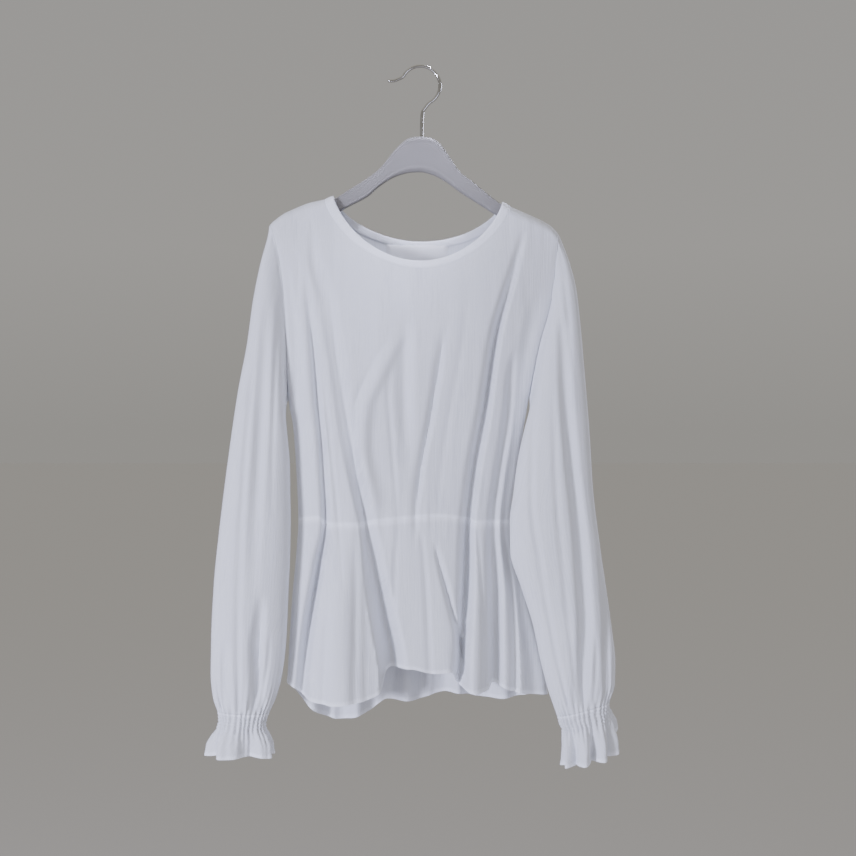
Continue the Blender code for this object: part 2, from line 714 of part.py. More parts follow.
def finish_mesh(name, bm, material):
    bmesh.ops.recalc_face_normals(bm, faces=bm.faces)
    mesh = bpy.data.meshes.new(name)
    bm.to_mesh(mesh)
    bm.free()
    mesh.materials.append(material)
    mesh.shade_smooth()
    mesh.set_sharp_from_angle(angle=math.radians(50))
    thing = bpy.data.objects.new(name, mesh)
    PARTS.objects.link(thing)
    return thing


def make_material(name, colour, roughness, metallic=0.0):
    material = bpy.data.materials.new(name)
    material.use_nodes = True
    shader = material.node_tree.nodes["Principled BSDF"]
    shader.inputs["Base Color"].default_value = (*colour, 1)
    shader.inputs["Roughness"].default_value = roughness
    shader.inputs["Metallic"].default_value = metallic
    return material


def make_hanger(material):
    """The hanger: sections with soft corners, lofted along X, with a socket for the hook."""
    first, last = HANGER.keys[0], HANGER.keys[-1]
    even = np.linspace(0, 1, HANGER_STATIONS + 1)
    bm = bmesh.new()
    rings = []
    for share in even:
        eased = 0.85 * share + 0.15 * (1 - math.cos(math.pi * share)) / 2
        x = first + (last - first) * eased
        top, bottom = float(HANGER.read("top", x)), float(HANGER.read("bottom", x))
        tip = min(1.0, min(x - first, last - x) / HANGER_TIP_LENGTH + HANGER_TIP_SHARE)
        ring = []
        for k in range(HANGER_SECTION_POINTS):
            turn = 2 * math.pi * (k + 0.5) / HANGER_SECTION_POINTS
            side = math.copysign(abs(math.cos(turn)) ** HANGER_SQUARENESS, math.cos(turn))
            rise = math.copysign(abs(math.sin(turn)) ** HANGER_SQUARENESS, math.sin(turn))
            y = HANGER_HALF_THICKNESS * tip * side
            z = (top + bottom) / 2 + (top - bottom) / 2 * rise
            ring.append(bm.verts.new(Vector((x, y, z)) * MM))
        rings.append(ring)
    for ring, following in zip(rings, rings[1:]):
        for k in range(HANGER_SECTION_POINTS):
            n = (k + 1) % HANGER_SECTION_POINTS
            bm.faces.new((ring[k], ring[n], following[n], following[k]))
    bm.faces.new(rings[0])
    bm.faces.new(rings[-1])
    hanger = finish_mesh("hanger_body", bm, material)

    socket_bottom = SHAFT_BOTTOM - SOCKET_CLEARANCE
    bpy.ops.mesh.primitive_cylinder_add(
        vertices=16, radius=(WIRE_RADIUS + SOCKET_CLEARANCE) * MM, depth=SOCKET_HEIGHT * MM,
        location=(SHAFT_X * MM, 0, (socket_bottom + SOCKET_HEIGHT / 2) * MM))
    cutter = bpy.context.object
    cutter.name = "hook_socket"
    for owner in list(cutter.users_collection):
        owner.objects.unlink(cutter)
    CUTTERS.objects.link(cutter)
    cutter.hide_render = True
    cutter.display_type = "WIRE"
    cut = hanger.modifiers.new("socket", "BOOLEAN")
    cut.operation = "DIFFERENCE"
    cut.object = cutter


def hook_route():
    """The hook's centre line, from the bottom of its shaft round the arch to its tip."""
    route = [(SHAFT_X, z) for z in (SHAFT_BOTTOM, *SHAFT_RISE)]
    route += HOOK_NECK
    centre_z = WIRE_RADIUS - HOOK_RADIUS
    for k in range(ARCH_STEPS + 1):
        turn = math.radians(HOOK_START + (HOOK_END - HOOK_START) * k / ARCH_STEPS)
        route.append((HOOK_RADIUS * math.cos(turn), centre_z + HOOK_RADIUS * math.sin(turn)))
    return route + list(HOOK_TIP)


def make_hook(material):
    curve = bpy.data.curves.new("hanger_hook", "CURVE")
    curve.dimensions = "3D"
    curve.bevel_depth = WIRE_RADIUS * MM
    curve.bevel_resolution = 2
    curve.use_fill_caps = True
    route = hook_route()
    spline = curve.splines.new("POLY")
    spline.points.add(len(route) - 1)
    for point, (x, z) in zip(spline.points, route):
        point.co = (x * MM, 0, z * MM, 1)
    curve.materials.append(material)
    hook = bpy.data.objects.new("hanger_hook", curve)
    PARTS.objects.link(hook)


def clear_scene():
    for thing in list(bpy.data.objects):
        bpy.data.objects.remove(thing, do_unlink=True)


def make_collection(name):
    collection = bpy.data.collections.new(name)
    bpy.context.scene.collection.children.link(collection)
    return collection


clear_scene()
PARTS = make_collection("peplum_top")
CUTTERS = make_collection("cutters")

cloth = make_material("white_cloth", (0.72, 0.73, 0.76), 0.85)
label_cloth = make_material("label_satin", (0.78, 0.78, 0.80), 0.6)
plastic = make_material("grey_plastic", (0.52, 0.52, 0.54), 0.45)
chrome = make_material("hook_wire", (0.62, 0.62, 0.63), 0.2, 1.0)

cloth_wall("bodice_front", bodice_grid(-1), WALL, False, cloth)
cloth_wall("bodice_back", bodice_grid(1), WALL, False, cloth)
cloth_wall("peplum_front", peplum_grid(-1, FRONT_HEM), WALL, False, cloth)
cloth_wall("peplum_back", peplum_grid(1, BACK_HEM), WALL, False, cloth)
cloth_wall("sleeve_left", sleeve_grid(LEFT_SLEEVE, left_edge, LEFT_ARMHOLE, -1), WALL, True, cloth)
cloth_wall("sleeve_right", sleeve_grid(RIGHT_SLEEVE, right_edge, RIGHT_ARMHOLE, 1), WALL, True, cloth)
cloth_wall("cuff_left", cuff_grid(LEFT_CUFF, LEFT_FRILL), WALL, True, cloth)
cloth_wall("cuff_right", cuff_grid(RIGHT_CUFF, RIGHT_FRILL), WALL, True, cloth)
cloth_wall("neck_binding", binding_grid(), BINDING_WALL, True, cloth)
cloth_wall("label", label_grid(), LABEL_WALL, False, label_cloth)
make_hanger(plastic)
make_hook(chrome)
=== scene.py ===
"""The looks of a white peplum top on its hanger: thin cloth laid over the solids of the frame.

The outlines and the main folds are the same named tables as the solids', in millimetres, read
here on much finer grids. The finer folds, gathers, hems, elastic rows and stitches are added to them.
"""
import math

import bpy
import numpy as np
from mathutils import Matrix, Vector


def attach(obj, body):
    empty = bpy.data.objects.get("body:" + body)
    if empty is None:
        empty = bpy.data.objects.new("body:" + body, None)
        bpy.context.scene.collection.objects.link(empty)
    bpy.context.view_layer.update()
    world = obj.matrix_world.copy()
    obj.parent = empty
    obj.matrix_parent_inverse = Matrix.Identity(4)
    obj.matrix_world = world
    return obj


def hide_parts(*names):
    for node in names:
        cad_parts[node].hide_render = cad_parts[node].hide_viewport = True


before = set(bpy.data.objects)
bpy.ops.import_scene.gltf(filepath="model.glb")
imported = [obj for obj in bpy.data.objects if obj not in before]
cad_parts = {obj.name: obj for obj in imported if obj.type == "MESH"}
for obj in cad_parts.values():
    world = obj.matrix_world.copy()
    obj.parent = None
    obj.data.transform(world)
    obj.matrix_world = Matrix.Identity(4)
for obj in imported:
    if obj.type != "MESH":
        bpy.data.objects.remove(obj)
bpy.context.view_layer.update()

MM = 0.001
BODY = "root"

# Cloth
SHELL = 0.5
LEAST_REACH = 3.0
HEM_HEIGHT = 4.0
HEM_SWELL = 0.35
HEM_SWELL_FADE = 5
HEM_DENT = {"at": 0.85, "fade": 6, "share": 0.9}
SEAM_BAND = 3.6
SLEEVE_LAP = 5.0
SLEEVE_LAP_BELOW_WAIST = 20.0
SLEEVE_LAP_RUN = 60.0
STEP_BLUR = 0.4

# Heights of the body
WAIST_Z = -512.0
HEM_Z = -700.0
BODY_CENTRE = np.array((0.0, 3.0, -400.0))

# Armholes: the height of the shoulder tip and of the underarm on each side
LEFT_TIP_X = -169.5
RIGHT_TIP_X = 154.0
LEFT_ARMHOLE = (-177.0, -376.0)
RIGHT_ARMHOLE = (-186.0, -372.0)
ARMHOLE_DEPTH = 13.0
RIDGE_DROP = 12.0

# Sleeve and cuff rings
RING_FULLNESS = 0.85
ARMHOLE_BLEND = 3.0

# Neck: the free edge of the binding, and the seam that sews it to the body
NECK_EDGE = {"left": -98.3, "right": 92.7, "left_z": -145.0, "right_z": -151.4, "front": 72.4,
             "back": 47.0}
NECK_SEAM = {"left": -108.0, "right": 101.6, "left_z": -149.0, "right_z": -157.0, "front": 76.0,
             "back": 50.0}
NECK_CURVE = 1.4
NECK_CLUSTER = -0.07
NECK_CENTRE = np.array((-3.0, 0.0, -150.0))
BINDING_HALF = 0.9
BINDING_SPREAD = 0.54
BINDING_FULLNESS = 0.55
BINDING_SINK = 0.75

# Mesh steps
SHOULDER_STEPS = 34
NECK_STEPS = 92
UPPER_ROWS = 88
LOWER_ROWS = 56
PEPLUM_ROWS = 96
SLEEVE_RINGS = 170
SLEEVE_POINTS = 132
CUFF_RINGS = 60
CUFF_POINTS = 288
BINDING_STEPS = 420
BINDING_SECTION = 14
NOISE_CELLS = 64
LABEL_COLUMNS = 70
LABEL_ROWS = 26
HANGER_STATIONS = 220
HANGER_SECTION_POINTS = 64
ARCH_STEPS = 20
HOOK_STEPS = 260
WIRE_SIDES = 28
STITCH_SIDES = 6

# How far rows and columns crowd towards an edge
SIDE_CROWDING = 0.3
TOP_CROWDING = 1.35
PEPLUM_CROWDING = 0.85
HANGER_CROWDING = 0.15

# Label
LABEL = {"left": -39.0, "right": 31.0, "top": -197.0, "bottom": -219.0, "lift": 1.68}
LABEL_CURL = 3.0
LABEL_GAP = 0.3
LABEL_SMOOTHING = (-6, 0, 6)

# Hook
WIRE_RADIUS = 2.0
HOOK_RADIUS = 22.0
HOOK_START = -62.0
HOOK_END = 152.0
HOOK_TIP = ((-24.5, -12.6), (-30.5, -14.6), (-37.0, -14.9))
HOOK_NECK = ((1.8, -55.0), (2.6, -49.5), (5.2, -45.5))
SHAFT_X = 1.4
SHAFT_BOTTOM = -96.0
SHAFT_RISE = (-76.0, -66.0)

# Hanger
HANGER_HALF_THICKNESS = 6.0
HANGER_SQUARENESS = 0.6
HANGER_TIP_LENGTH = 8.0
HANGER_TIP_SHARE = 0.45
HANGER_LIP = 0.7
HANGER_LIP_SHARE = 0.66
HANGER_LIP_STEP = 0.12

# A stitch's profile: share of its half length, share of its thickness
STITCH_PROFILE = ((-1.0, 0.0), (-0.7, 0.75), (0.0, 1.0), (0.7, 0.75), (1.0, 0.0))

# Gathers, elastic rows and the frill
REAR_FOLD_SHIFT = 9.0
CUFF_PLEAT = 1.1
ARMHOLE_PUCKER = 0.7
ARMHOLE_PUCKER_REACH = 12.0
SEAM_RISE = 0.35
SEAM_RISE_AT = 1.8
SEAM_RISE_REACH = 1.3
SEAM_DIP = 0.55
SEAM_DIP_REACH = 1.1
ARMHOLE_DIP = 1.5
ARMHOLE_DIP_REACH = 5.0
SLEEVE_CRINKLE = 0.7
SLEEVE_END_FADE = 16.0
CUFF_SEAM_BAND = 2.5
HEM_STITCH = 3.4
STITCH_SPACING = 2.6
STITCH_LENGTH = 1.9
STITCH_RADIUS = 0.18
STITCH_LIFT = 0.05
BINDING_STITCH = 0.82
BINDING_STITCH_LIFT = 0.28
BINDING_PUCKER = 0.3
LEFT_FRILL = {"waves": 5, "phase": 0.29, "flipped": False, "notch": 1.95}
RIGHT_FRILL = {"waves": 8, "phase": 4.77, "flipped": True, "notch": 1.33}
NOTCH_DEPTH = 5.0
NOTCH_WIDTH = 0.13
FRILL_DROP = 0.8
FLIP_ANGLE = 5.7
FLIP_WIDTH = 0.55
FLIP_OUT = 10.0
FLIP_UP = 30.0
SHIRR_DEPTH = 1.0
BAND_HEIGHT = 20.0
BAND_BLUR = 1.5
RIPPLE_REACH = 14.0
ELASTIC_ROWS = 5
PINCH_DEPTH = 0.25

# Colours, linear
SINGLE_WHITE = (0.745, 0.758, 0.80)
DARK_SLUB = (0.695, 0.708, 0.75)
LIGHT_SLUB = (0.785, 0.798, 0.835)
DOUBLE_WHITE = (0.90, 0.915, 0.97)
LABEL_WHITE = (0.88, 0.88, 0.90)
LABEL_SHADE = (0.80, 0.80, 0.82)
PLASTIC_GREY = (0.26, 0.25, 0.245)
PLASTIC_DARK = (0.24, 0.23, 0.225)
CHROME_GREY = (0.50, 0.49, 0.47)
THREADS_PER_METRE = 2200
THREAD_TILT = 0.4

# Stage, in metres and watts
FLOOR_Z = -1.4
FLOOR_REACH = 40.0
FLOOR_COLOUR = (0.535, 0.523, 0.51)
SKY_TONES = ((0.0, (0.318, 0.307, 0.287)), (0.12, (0.372, 0.360, 0.342)), (0.3, (0.36, 0.35, 0.336)),
             (0.8, (0.68, 0.66, 0.62)))
CAMERA_PLACE = (0.0085, -1.66, -0.407)
CAMERA_LENS = 61.8
CAMERA_SENSOR = 36.0
LAMP_COLOUR = (0.95, 0.99, 1.32)
LAMPS = (
    ("key", (-1.95, -1.95, -0.6), (0.0, 0.0, -0.58), 0.6, 72.0, 180),
    ("fill", (1.5, -2.2, -0.8), (0.0, 0.0, -0.6), 1.5, 11.0, 180),
    ("neck", (0.35, -0.45, 0.9), (-0.02, 0.02, -0.19), 0.12, 0.09, 10),
    ("back", (1.6, 1.9, 0.4), (0.0, 0.0, -0.4), 0.8, 2.4, 50),
)


class Table:
    """Rows under named columns, read along a smooth curve by the first column."""

    def __init__(self, names, *rows):
        data = np.array(sorted(rows), float)
        self.keys = data[:, 0]
        self.columns = dict(zip(names.split(), data.T))
        self.slopes = {name: self.find_slopes(values) for name, values in self.columns.items()}

    def find_slopes(self, values):
        steps = np.diff(values) / np.diff(self.keys)
        before, after = steps[:-1], steps[1:]
        same = before * after > 0
        total = np.where(same, before + after, 1.0)
        inner = np.where(same, 2 * before * after / total, 0.0)
        return np.concatenate(([steps[0]], inner, [steps[-1]]))

    def read(self, name, key):
        key = np.clip(key, self.keys[0], self.keys[-1])
        k = np.clip(np.searchsorted(self.keys, key, side="right") - 1, 0, len(self.keys) - 2)
        values, slopes = self.columns[name], self.slopes[name]
        width = self.keys[k + 1] - self.keys[k]
        t = (key - self.keys[k]) / width
        start = (1 + 2 * t) * (1 - t) ** 2 * values[k] + t * (1 - t) ** 2 * width * slopes[k]
        end = t * t * (3 - 2 * t) * values[k + 1] - t * t * (1 - t) * width * slopes[k + 1]
        return start + end


# The body's outline by height: side edges, the plane of the side seams, and the
# depth of the front and the back from that plane
BODY_SHAPE = Table(
    "z left right side_y front back",
    (-145, -169.5, 154, 0, 14, 12),
    (-177, -169.5, 154, 0, 15, 13),
    (-186, -166.5, 154, 0, 16, 13),
    (-220, -158.5, 152.5, 0, 23, 15),
    (-263, -153.5, 147.5, 0, 27, 17),
    (-318, -151, 133, 0, 29, 18),
    (-374, -149.5, 122.5, 0, 30, 18),
    (-405, -144.5, 117.5, 2, 30, 18),
    (-450, -141.5, 110, 5, 30, 18),
    (-512, -139, 102.5, 6, 30, 18),
    (-545, -141, 103, 6, 31, 20),
    (-600, -146, 116, 6, 33, 24),
    (-700, -152, 139, 6, 36, 30),
    (-745, -154, 141, 6, 37, 32),
)

# The shoulder line, and how it would go on over the neck
RIDGE = Table(
    "x z", (-169.5, -177), (-161, -170), (-153, -164.5), (-142, -159.5), (-125, -152.8), (-108, -149),
    (-98.3, -145), (-50, -122), (0, -112), (50, -126), (92.7, -151.4), (101.6, -157), (123.4, -166.8),
    (136, -172.5), (146, -178.4), (154, -186))

WAIST = Table(
    "x z", (-139, -512), (-115, -509), (-104, -516), (-65, -516), (-50, -512), (-11, -508), (17, -506),
    (45, -509), (64, -514), (102.5, -514))

FRONT_HEM = Table(
    "x z", (-152, -694), (-141, -700), (-128, -710), (-100, -714), (-70, -711), (-50, -705), (-44, -700),
    (-39, -681), (-33, -676), (-10, -675), (16, -680), (36, -679), (41, -693), (60, -701), (74, -699),
    (80, -692), (90, -696), (100, -701), (122, -706), (139, -708))

BACK_HEM = Table(
    "x z", (-152, -694), (-120, -730), (-93, -742), (-60, -733), (-38, -719), (-10, -720), (30, -710),
    (80, -717), (139, -708))


def make_folds(**steps):
    """Folds by name, each read by height: its place across, its half width and its depth."""
    return {name: Table("z x half depth", *rows) for name, rows in steps.items()}


# Grooves (positive depth) and ridges (negative) of the front, by height
FRONT_FOLDS = make_folds(
    beside_left_sleeve=((-215, -152, 6, 0), (-270, -145, 8, 5), (-312, -141, 9, 7), (-379, -139, 10, 6),
        (-440, -136, 9, 0)),
    left_gap=((-235, -129, 7, 0), (-275, -125, 9, 5), (-312, -121.5, 10, 8), (-376, -117, 10, 10),
        (-442, -111.5, 10, 10), (-512, -109, 10, 11), (-559, -117, 11, 16), (-615, -126, 12, 20),
        (-700, -136, 13, 20)),
    left_soft=((-190, -122, 8, 0), (-230, -112, 12, 3), (-270, -100, 13, 4), (-312, -93, 13, 5),
        (-379, -83, 13, 5), (-425, -77, 12, 5), (-475, -67, 11, 7), (-512, -59, 11, 10),
        (-565, -51, 13, 20), (-615, -41, 15, 26), (-665, -32, 17, 30), (-720, -29, 18, 32)),
    left_crease=((-300, -20, 8, 0), (-345, -42, 12, -3), (-386, -58, 13, -4), (-425, -60, 12, -4),
        (-480, -48, 12, -3), (-512, -42, 10, 0)),
    centre_soft=((-270, -14, 12, 0), (-320, -16, 16, 4), (-380, -17, 16, 4), (-434, -16, 14, 2),
        (-470, -14, 12, 0)),
    centre_stripe=((-290, 25, 8, 0), (-340, 18, 9, 4), (-400, 9, 9, 4), (-460, -3, 9, 4), (-505, -8, 8, 2),
        (-530, -8, 8, 0)),
    right_deep=((-185, 114, 7, 0), (-215, 106, 9, 5), (-253, 95.5, 10, 10), (-293, 85, 11, 13),
        (-340, 77, 12, 14), (-386, 69.5, 12, 14), (-436, 60.5, 12, 14), (-485, 54, 12, 14),
        (-512, 51, 12, 15), (-565, 49, 13, 19), (-620, 46, 13, 20), (-700, 40, 14, 20)),
    right_mid=((-320, 106, 8, 0), (-343, 102, 9, 5), (-393, 95.5, 10, 8), (-458, 85, 10, 9),
        (-512, 79, 10, 10), (-560, 78, 12, 14), (-640, 78, 12, 16), (-720, 79, 13, 16)),
    behind_right_sleeve=((-250, 134, 12, 0), (-300, 125, 14, 5), (-372, 112, 16, 8), (-420, 107, 16, 9),
        (-512, 98, 14, 8), (-600, 112, 18, 12), (-720, 128, 20, 12)),
    right_notch=((-525, 93, 6, 0), (-560, 94, 7, 5), (-640, 98, 8, 8), (-710, 100, 9, 9)),
    left_flare=((-512, -84, 22, 0), (-560, -86, 28, -5), (-620, -90, 36, -12), (-720, -91, 46, -18)),
    right_flare=((-512, 66, 12, 0), (-560, 64, 14, -4), (-640, 60, 17, -9), (-720, 58, 19, -11)),
    centre_crease=((-530, 14, 7, 0), (-579, 26, 8, 3), (-622, 36, 8, 3), (-665, 45, 8, 0)),
    flare_crease=((-600, -105, 8, 0), (-645, -107, 9, 4), (-720, -111, 10, 6)),
)

BACK_FOLDS = make_folds(
    left_side=((-230, -118, 10, 0), (-330, -116, 14, 6), (-440, -108, 14, 8), (-512, -104, 14, 8),
        (-600, -114, 16, 14), (-730, -124, 18, 16)),
    left_mid=((-260, -44, 12, 0), (-350, -52, 15, 5), (-450, -58, 14, 7), (-512, -60, 13, 8),
        (-600, -66, 16, 14), (-730, -72, 18, 16)),
    centre=((-300, 6, 12, 0), (-380, 2, 15, 4), (-460, -4, 14, 6), (-512, -8, 12, 7), (-600, -12, 15, 13),
        (-730, -18, 17, 15)),
    right_mid=((-240, 66, 12, 0), (-330, 58, 15, 6), (-440, 48, 14, 7), (-512, 42, 13, 8),
        (-600, 40, 16, 13), (-730, 36, 18, 15)),
    right_side=((-280, 112, 10, 0), (-370, 106, 14, 6), (-460, 97, 14, 8), (-512, 92, 13, 8),
        (-600, 92, 15, 14), (-730, 92, 17, 15)),
)

RING_COLUMNS = "row outer_x outer_z inner_x inner_z centre_y half_depth bow"

# Rings of each sleeve from the armhole (row 0) to the cuff seam
LEFT_SLEEVE = Table(
    RING_COLUMNS,
    (0, -169.5, -177, -150, -376, 0, 13, 0),
    (1, -173.5, -200, -152.5, -385, -4, 15, 3),
    (2, -180, -222, -152, -394, -7, 17, 4),
    (3, -188, -263, -150.5, -407, -9, 19, 4),
    (4, -194.5, -312, -148.5, -425, -11, 20, 3),
    (5, -204.5, -366, -146.5, -450, -12, 21, 1),
    (6, -213, -425, -146, -480, -13, 22, 0),
    (7, -219.5, -475, -145.5, -512, -14, 23, 0),
    (8, -225.5, -525, -146, -547, -14, 24, 0),
    (9, -231, -580, -148, -592, -14, 24, 0),
    (10, -234, -640, -150.5, -645, -14, 23, 0),
    (11, -234.5, -680, -155, -682, -14, 22, 0),
    (12, -232, -706, -162, -708, -14, 19, 0),
    (13, -226, -724, -170.5, -726, -14, 16, 0),
)

RIGHT_SLEEVE = Table(
    RING_COLUMNS,
    (0, 154, -186, 122.5, -372, 0, 13, 0),
    (1, 164, -207, 123.8, -388, -4, 15, 2),
    (2, 170, -228, 122.5, -391, -10, 17, 4),
    (3, 175, -255, 118, -404, -15, 18, 4),
    (4, 178.5, -290, 113, -422, -19, 19, 2),
    (5, 183, -346, 107.5, -450, -22, 20, 0),
    (6, 188, -409, 103.5, -480, -24, 21, 0),
    (7, 192, -475, 99.5, -512, -25, 21, 0),
    (8, 199, -533, 100, -545, -25, 22, 0),
    (9, 207, -588, 112, -584, -25, 22, 0),
    (10, 213, -632, 125, -625, -25, 22, 0),
    (11, 216.5, -665, 133.5, -665, -25, 21, 0),
    (12, 216, -690, 142, -697, -25, 18, 0),
    (13, 209, -712, 153, -727, -25, 15, 0),
)

SLEEVE_FOLDS = make_folds(
    left_long=((-260, -172, 8, 0), (-330, -175, 10, 4), (-420, -179, 11, 5), (-520, -184, 11, 3),
        (-600, -186, 9, 0)),
    left_wrist=((-590, -176, 8, 0), (-619, -178, 10, 5), (-651, -181, 11, 8), (-692, -181, 10, 8),
        (-724, -187, 8, 4)),
    left_outer=((-640, -216, 7, 0), (-665, -217, 8, 3), (-705, -217, 8, 3), (-724, -216, 6, 0)),
    right_long=((-280, 157, 8, 0), (-306, 159, 9, 4), (-379, 162, 11, 7), (-442, 167, 11, 8),
        (-492, 172, 11, 8), (-566, 177, 12, 9), (-632, 182, 12, 9), (-679, 180, 10, 8), (-722, 182, 8, 3)),
    right_outer=((-540, 200, 7, 0), (-566, 202, 8, 4), (-632, 206, 8, 5), (-700, 206, 7, 3)),
)

CUFF_COLUMNS = "row outer_x outer_z inner_x inner_z centre_y half_depth wave"

# Rings of each cuff from its seam: the shirred band, then the frill
LEFT_CUFF = Table(
    CUFF_COLUMNS,
    (0, -226, -724.3, -170.5, -726.3, -14, 16, 0),
    (1, -225, -733, -173, -734, -14, 15, 0.3),
    (2, -226, -742, -174, -742, -14, 15, 1),
    (3, -231, -752, -170, -751, -14, 17, 3),
    (4, -234, -762, -167, -761, -14, 19, 5),
    (5, -234, -773, -167, -773, -14, 21, 6.5),
)

RIGHT_CUFF = Table(
    CUFF_COLUMNS,
    (0, 209.1, -712.3, 153.1, -727.3, -25, 15, 0),
    (1, 208.5, -721, 155.5, -736, -25, 14, 0.3),
    (2, 209.5, -731, 159, -744, -25, 14, 1),
    (3, 211, -743, 160, -755, -25, 16, 3),
    (4, 212, -756, 161, -768, -25, 18, 5),
    (5, 211, -772, 161, -782, -25, 20, 6.5),
)

# The hanger's outline from the front
HANGER = Table(
    "x top bottom", (-161, -178.5, -181.5), (-157, -172.3, -185.0), (-150, -165.2, -182.5),
    (-125, -155, -173.5), (-108, -152, -169), (-98, -148.6, -166), (-80, -137.5, -156.5), (-60, -125, -146),
    (-46, -114, -134), (-31, -95.5, -124.5), (-22, -86, -121), (-12, -79.5, -118.6), (0, -78, -118),
    (12, -79.5, -120.6), (22, -86, -125), (33, -101, -132), (45, -118, -141), (60, -129.5, -150.5),
    (75, -142, -160), (92, -155, -171), (105, -163, -179), (123, -169.5, -185), (140, -177.2, -193),
    (144.5, -183, -195.5), (148.5, -189.5, -192.5))

# Finer folds that the solids leave out, read the same way
FRONT_CREASES = make_folds(
    upper_left=((-200, -140, 5, 0), (-232, -136, 6, 1.2), (-275, -139, 6, 1.6), (-330, -133, 6, 1.4),
        (-390, -131, 6, 0)),
    shoulder_left=((-168, -124, 5, 0), (-188, -120, 8, 0.9), (-222, -118, 9, 1.3), (-262, -112, 9, 0.8),
        (-300, -108, 8, 0)),
    left_crisp=((-232, -104, 4, 0), (-270, -97, 5, 1.2), (-330, -89, 5, 2.0), (-400, -78, 5, 2.2),
        (-470, -67, 4, 2.2), (-512, -61, 4, 2.2), (-563, -59, 5, 3.6), (-610, -53, 6, 5), (-673, -41, 7, 6),
        (-720, -36, 8, 6)),
    left_panel=((-330, -110, 4, 0), (-380, -104, 5, 1.3), (-430, -99, 5, 1.8), (-500, -92, 5, 1.6),
        (-560, -88, 5, 0.8), (-600, -86, 5, 0)),
    bust_crease=((-290, -10, 9, 0), (-315, -24, 11, -1.6), (-350, -42, 13, -2.4), (-386, -57, 13, -2.8),
        (-422, -60, 12, -2.4), (-470, -55, 11, -2.0), (-505, -50, 10, 0)),
    bust_hollow=((-300, -34, 8, 0), (-345, -55, 9, 1.4), (-386, -70, 8, 2.2), (-422, -72, 7, 2.2),
        (-470, -65, 6, 1.6), (-508, -61, 6, 0.8)),
    gap_crisp=((-250, -127, 4, 0), (-312, -121, 4, 2.2), (-376, -116, 4, 3), (-442, -111, 4, 3.2),
        (-512, -108, 4, 3.4), (-559, -116, 6, 5), (-615, -125, 8, 6.5), (-700, -136, 9, 6.5)),
    centre_dark=((-270, -12, 9, 0), (-310, -15, 11, 2.0), (-370, -16, 11, 2.4), (-430, -16, 9, 0)),
    bust_shadow=((-360, -82, 10, 0), (-400, -80, 11, 2.0), (-450, -76, 11, 2.6), (-500, -66, 9, 1.2),
        (-515, -62, 8, 0)),
    centre_left=((-330, -31, 5, 0), (-372, -34, 6, 1.8), (-420, -31, 6, 2.0), (-470, -28, 5, 1.3),
        (-508, -27, 5, 0.8), (-560, -30, 6, 1.6), (-640, -31, 6, 1.2), (-680, -31, 6, 0)),
    stripe_crisp=((-300, 24, 5, 0), (-330, 20, 5, 2.2), (-400, 9.5, 5, 3.0), (-470, -3, 5, 2.6),
        (-512, -8, 5, 1.0), (-540, -9, 5, 0)),
    right_crisp=((-240, 100, 4, 0), (-293, 88, 5, 1.8), (-330, 81, 5, 3), (-360, 76, 5, 3.4),
        (-436, 62, 5, 3.4), (-512, 53, 5, 3), (-600, 48, 6, 3.4), (-712, 41, 7, 3)),
    right_soft=((-262, 52, 7, 0), (-310, 46, 9, 1.0), (-360, 38, 9, 1.2), (-430, 28, 8, 1.0),
        (-490, 20, 7, 0.7), (-530, 16, 6, 0)),
    right_panel=((-300, 112, 5, 0), (-350, 101, 5, 1.6), (-410, 93, 5, 2.4), (-470, 83, 5, 2.4),
        (-512, 78, 5, 2), (-600, 77, 6, 3), (-710, 78, 6, 3)),
    peplum_left=((-512, -132, 4, 0), (-545, -134, 5, 1.6), (-600, -137, 5, 2.4), (-700, -146, 5, 2.6)),
    peplum_diagonal=((-535, 15, 4, 0), (-552, 18, 5, 3), (-610, 33, 6, 4.4), (-655, 44, 6, 4.4),
        (-700, 52, 6, 3)),
    peplum_centre=((-514, -2, 5, 0), (-545, 2, 6, 1.4), (-600, 6, 7, 2.0), (-680, 10, 8, 1.6)),
    peplum_right=((-512, 64, 4, 0), (-550, 66, 5, 1.6), (-620, 68, 6, 2.0), (-700, 70, 6, 1.2)),
    flare_left=((-530, -74, 6, 0), (-580, -72, 7, 1.6), (-640, -72, 8, 2.2), (-712, -74, 9, 2.0)),
)

BACK_CREASES = make_folds(
    left_edge=((-220, -134, 5, 0), (-300, -131, 6, 2), (-400, -124, 6, 2.4), (-512, -121, 5, 1.6),
        (-620, -134, 6, 2.4), (-730, -140, 6, 2)),
    left_crisp=((-250, -84, 5, 0), (-330, -82, 6, 1.8), (-430, -82, 6, 2.4), (-512, -82, 5, 1.8),
        (-620, -92, 6, 2.6), (-738, -98, 7, 2.4)),
    centre_left=((-340, -26, 5, 0), (-420, -32, 6, 1.8), (-512, -36, 5, 1.6), (-620, -42, 6, 2.2),
        (-730, -46, 7, 1.8)),
    centre_right=((-270, 30, 6, 0), (-360, 28, 7, 2.0), (-450, 22, 6, 2.2), (-512, 18, 5, 1.6),
        (-620, 14, 6, 2.4), (-720, 8, 7, 2.2)),
    right_crisp=((-230, 92, 5, 0), (-310, 84, 6, 2.2), (-420, 74, 6, 2.6), (-512, 68, 5, 2.0),
        (-620, 66, 6, 2.6), (-720, 62, 7, 2.2)),
    right_edge=((-540, 104, 4, 0), (-600, 108, 5, 2.0), (-720, 116, 6, 2.4)),
)

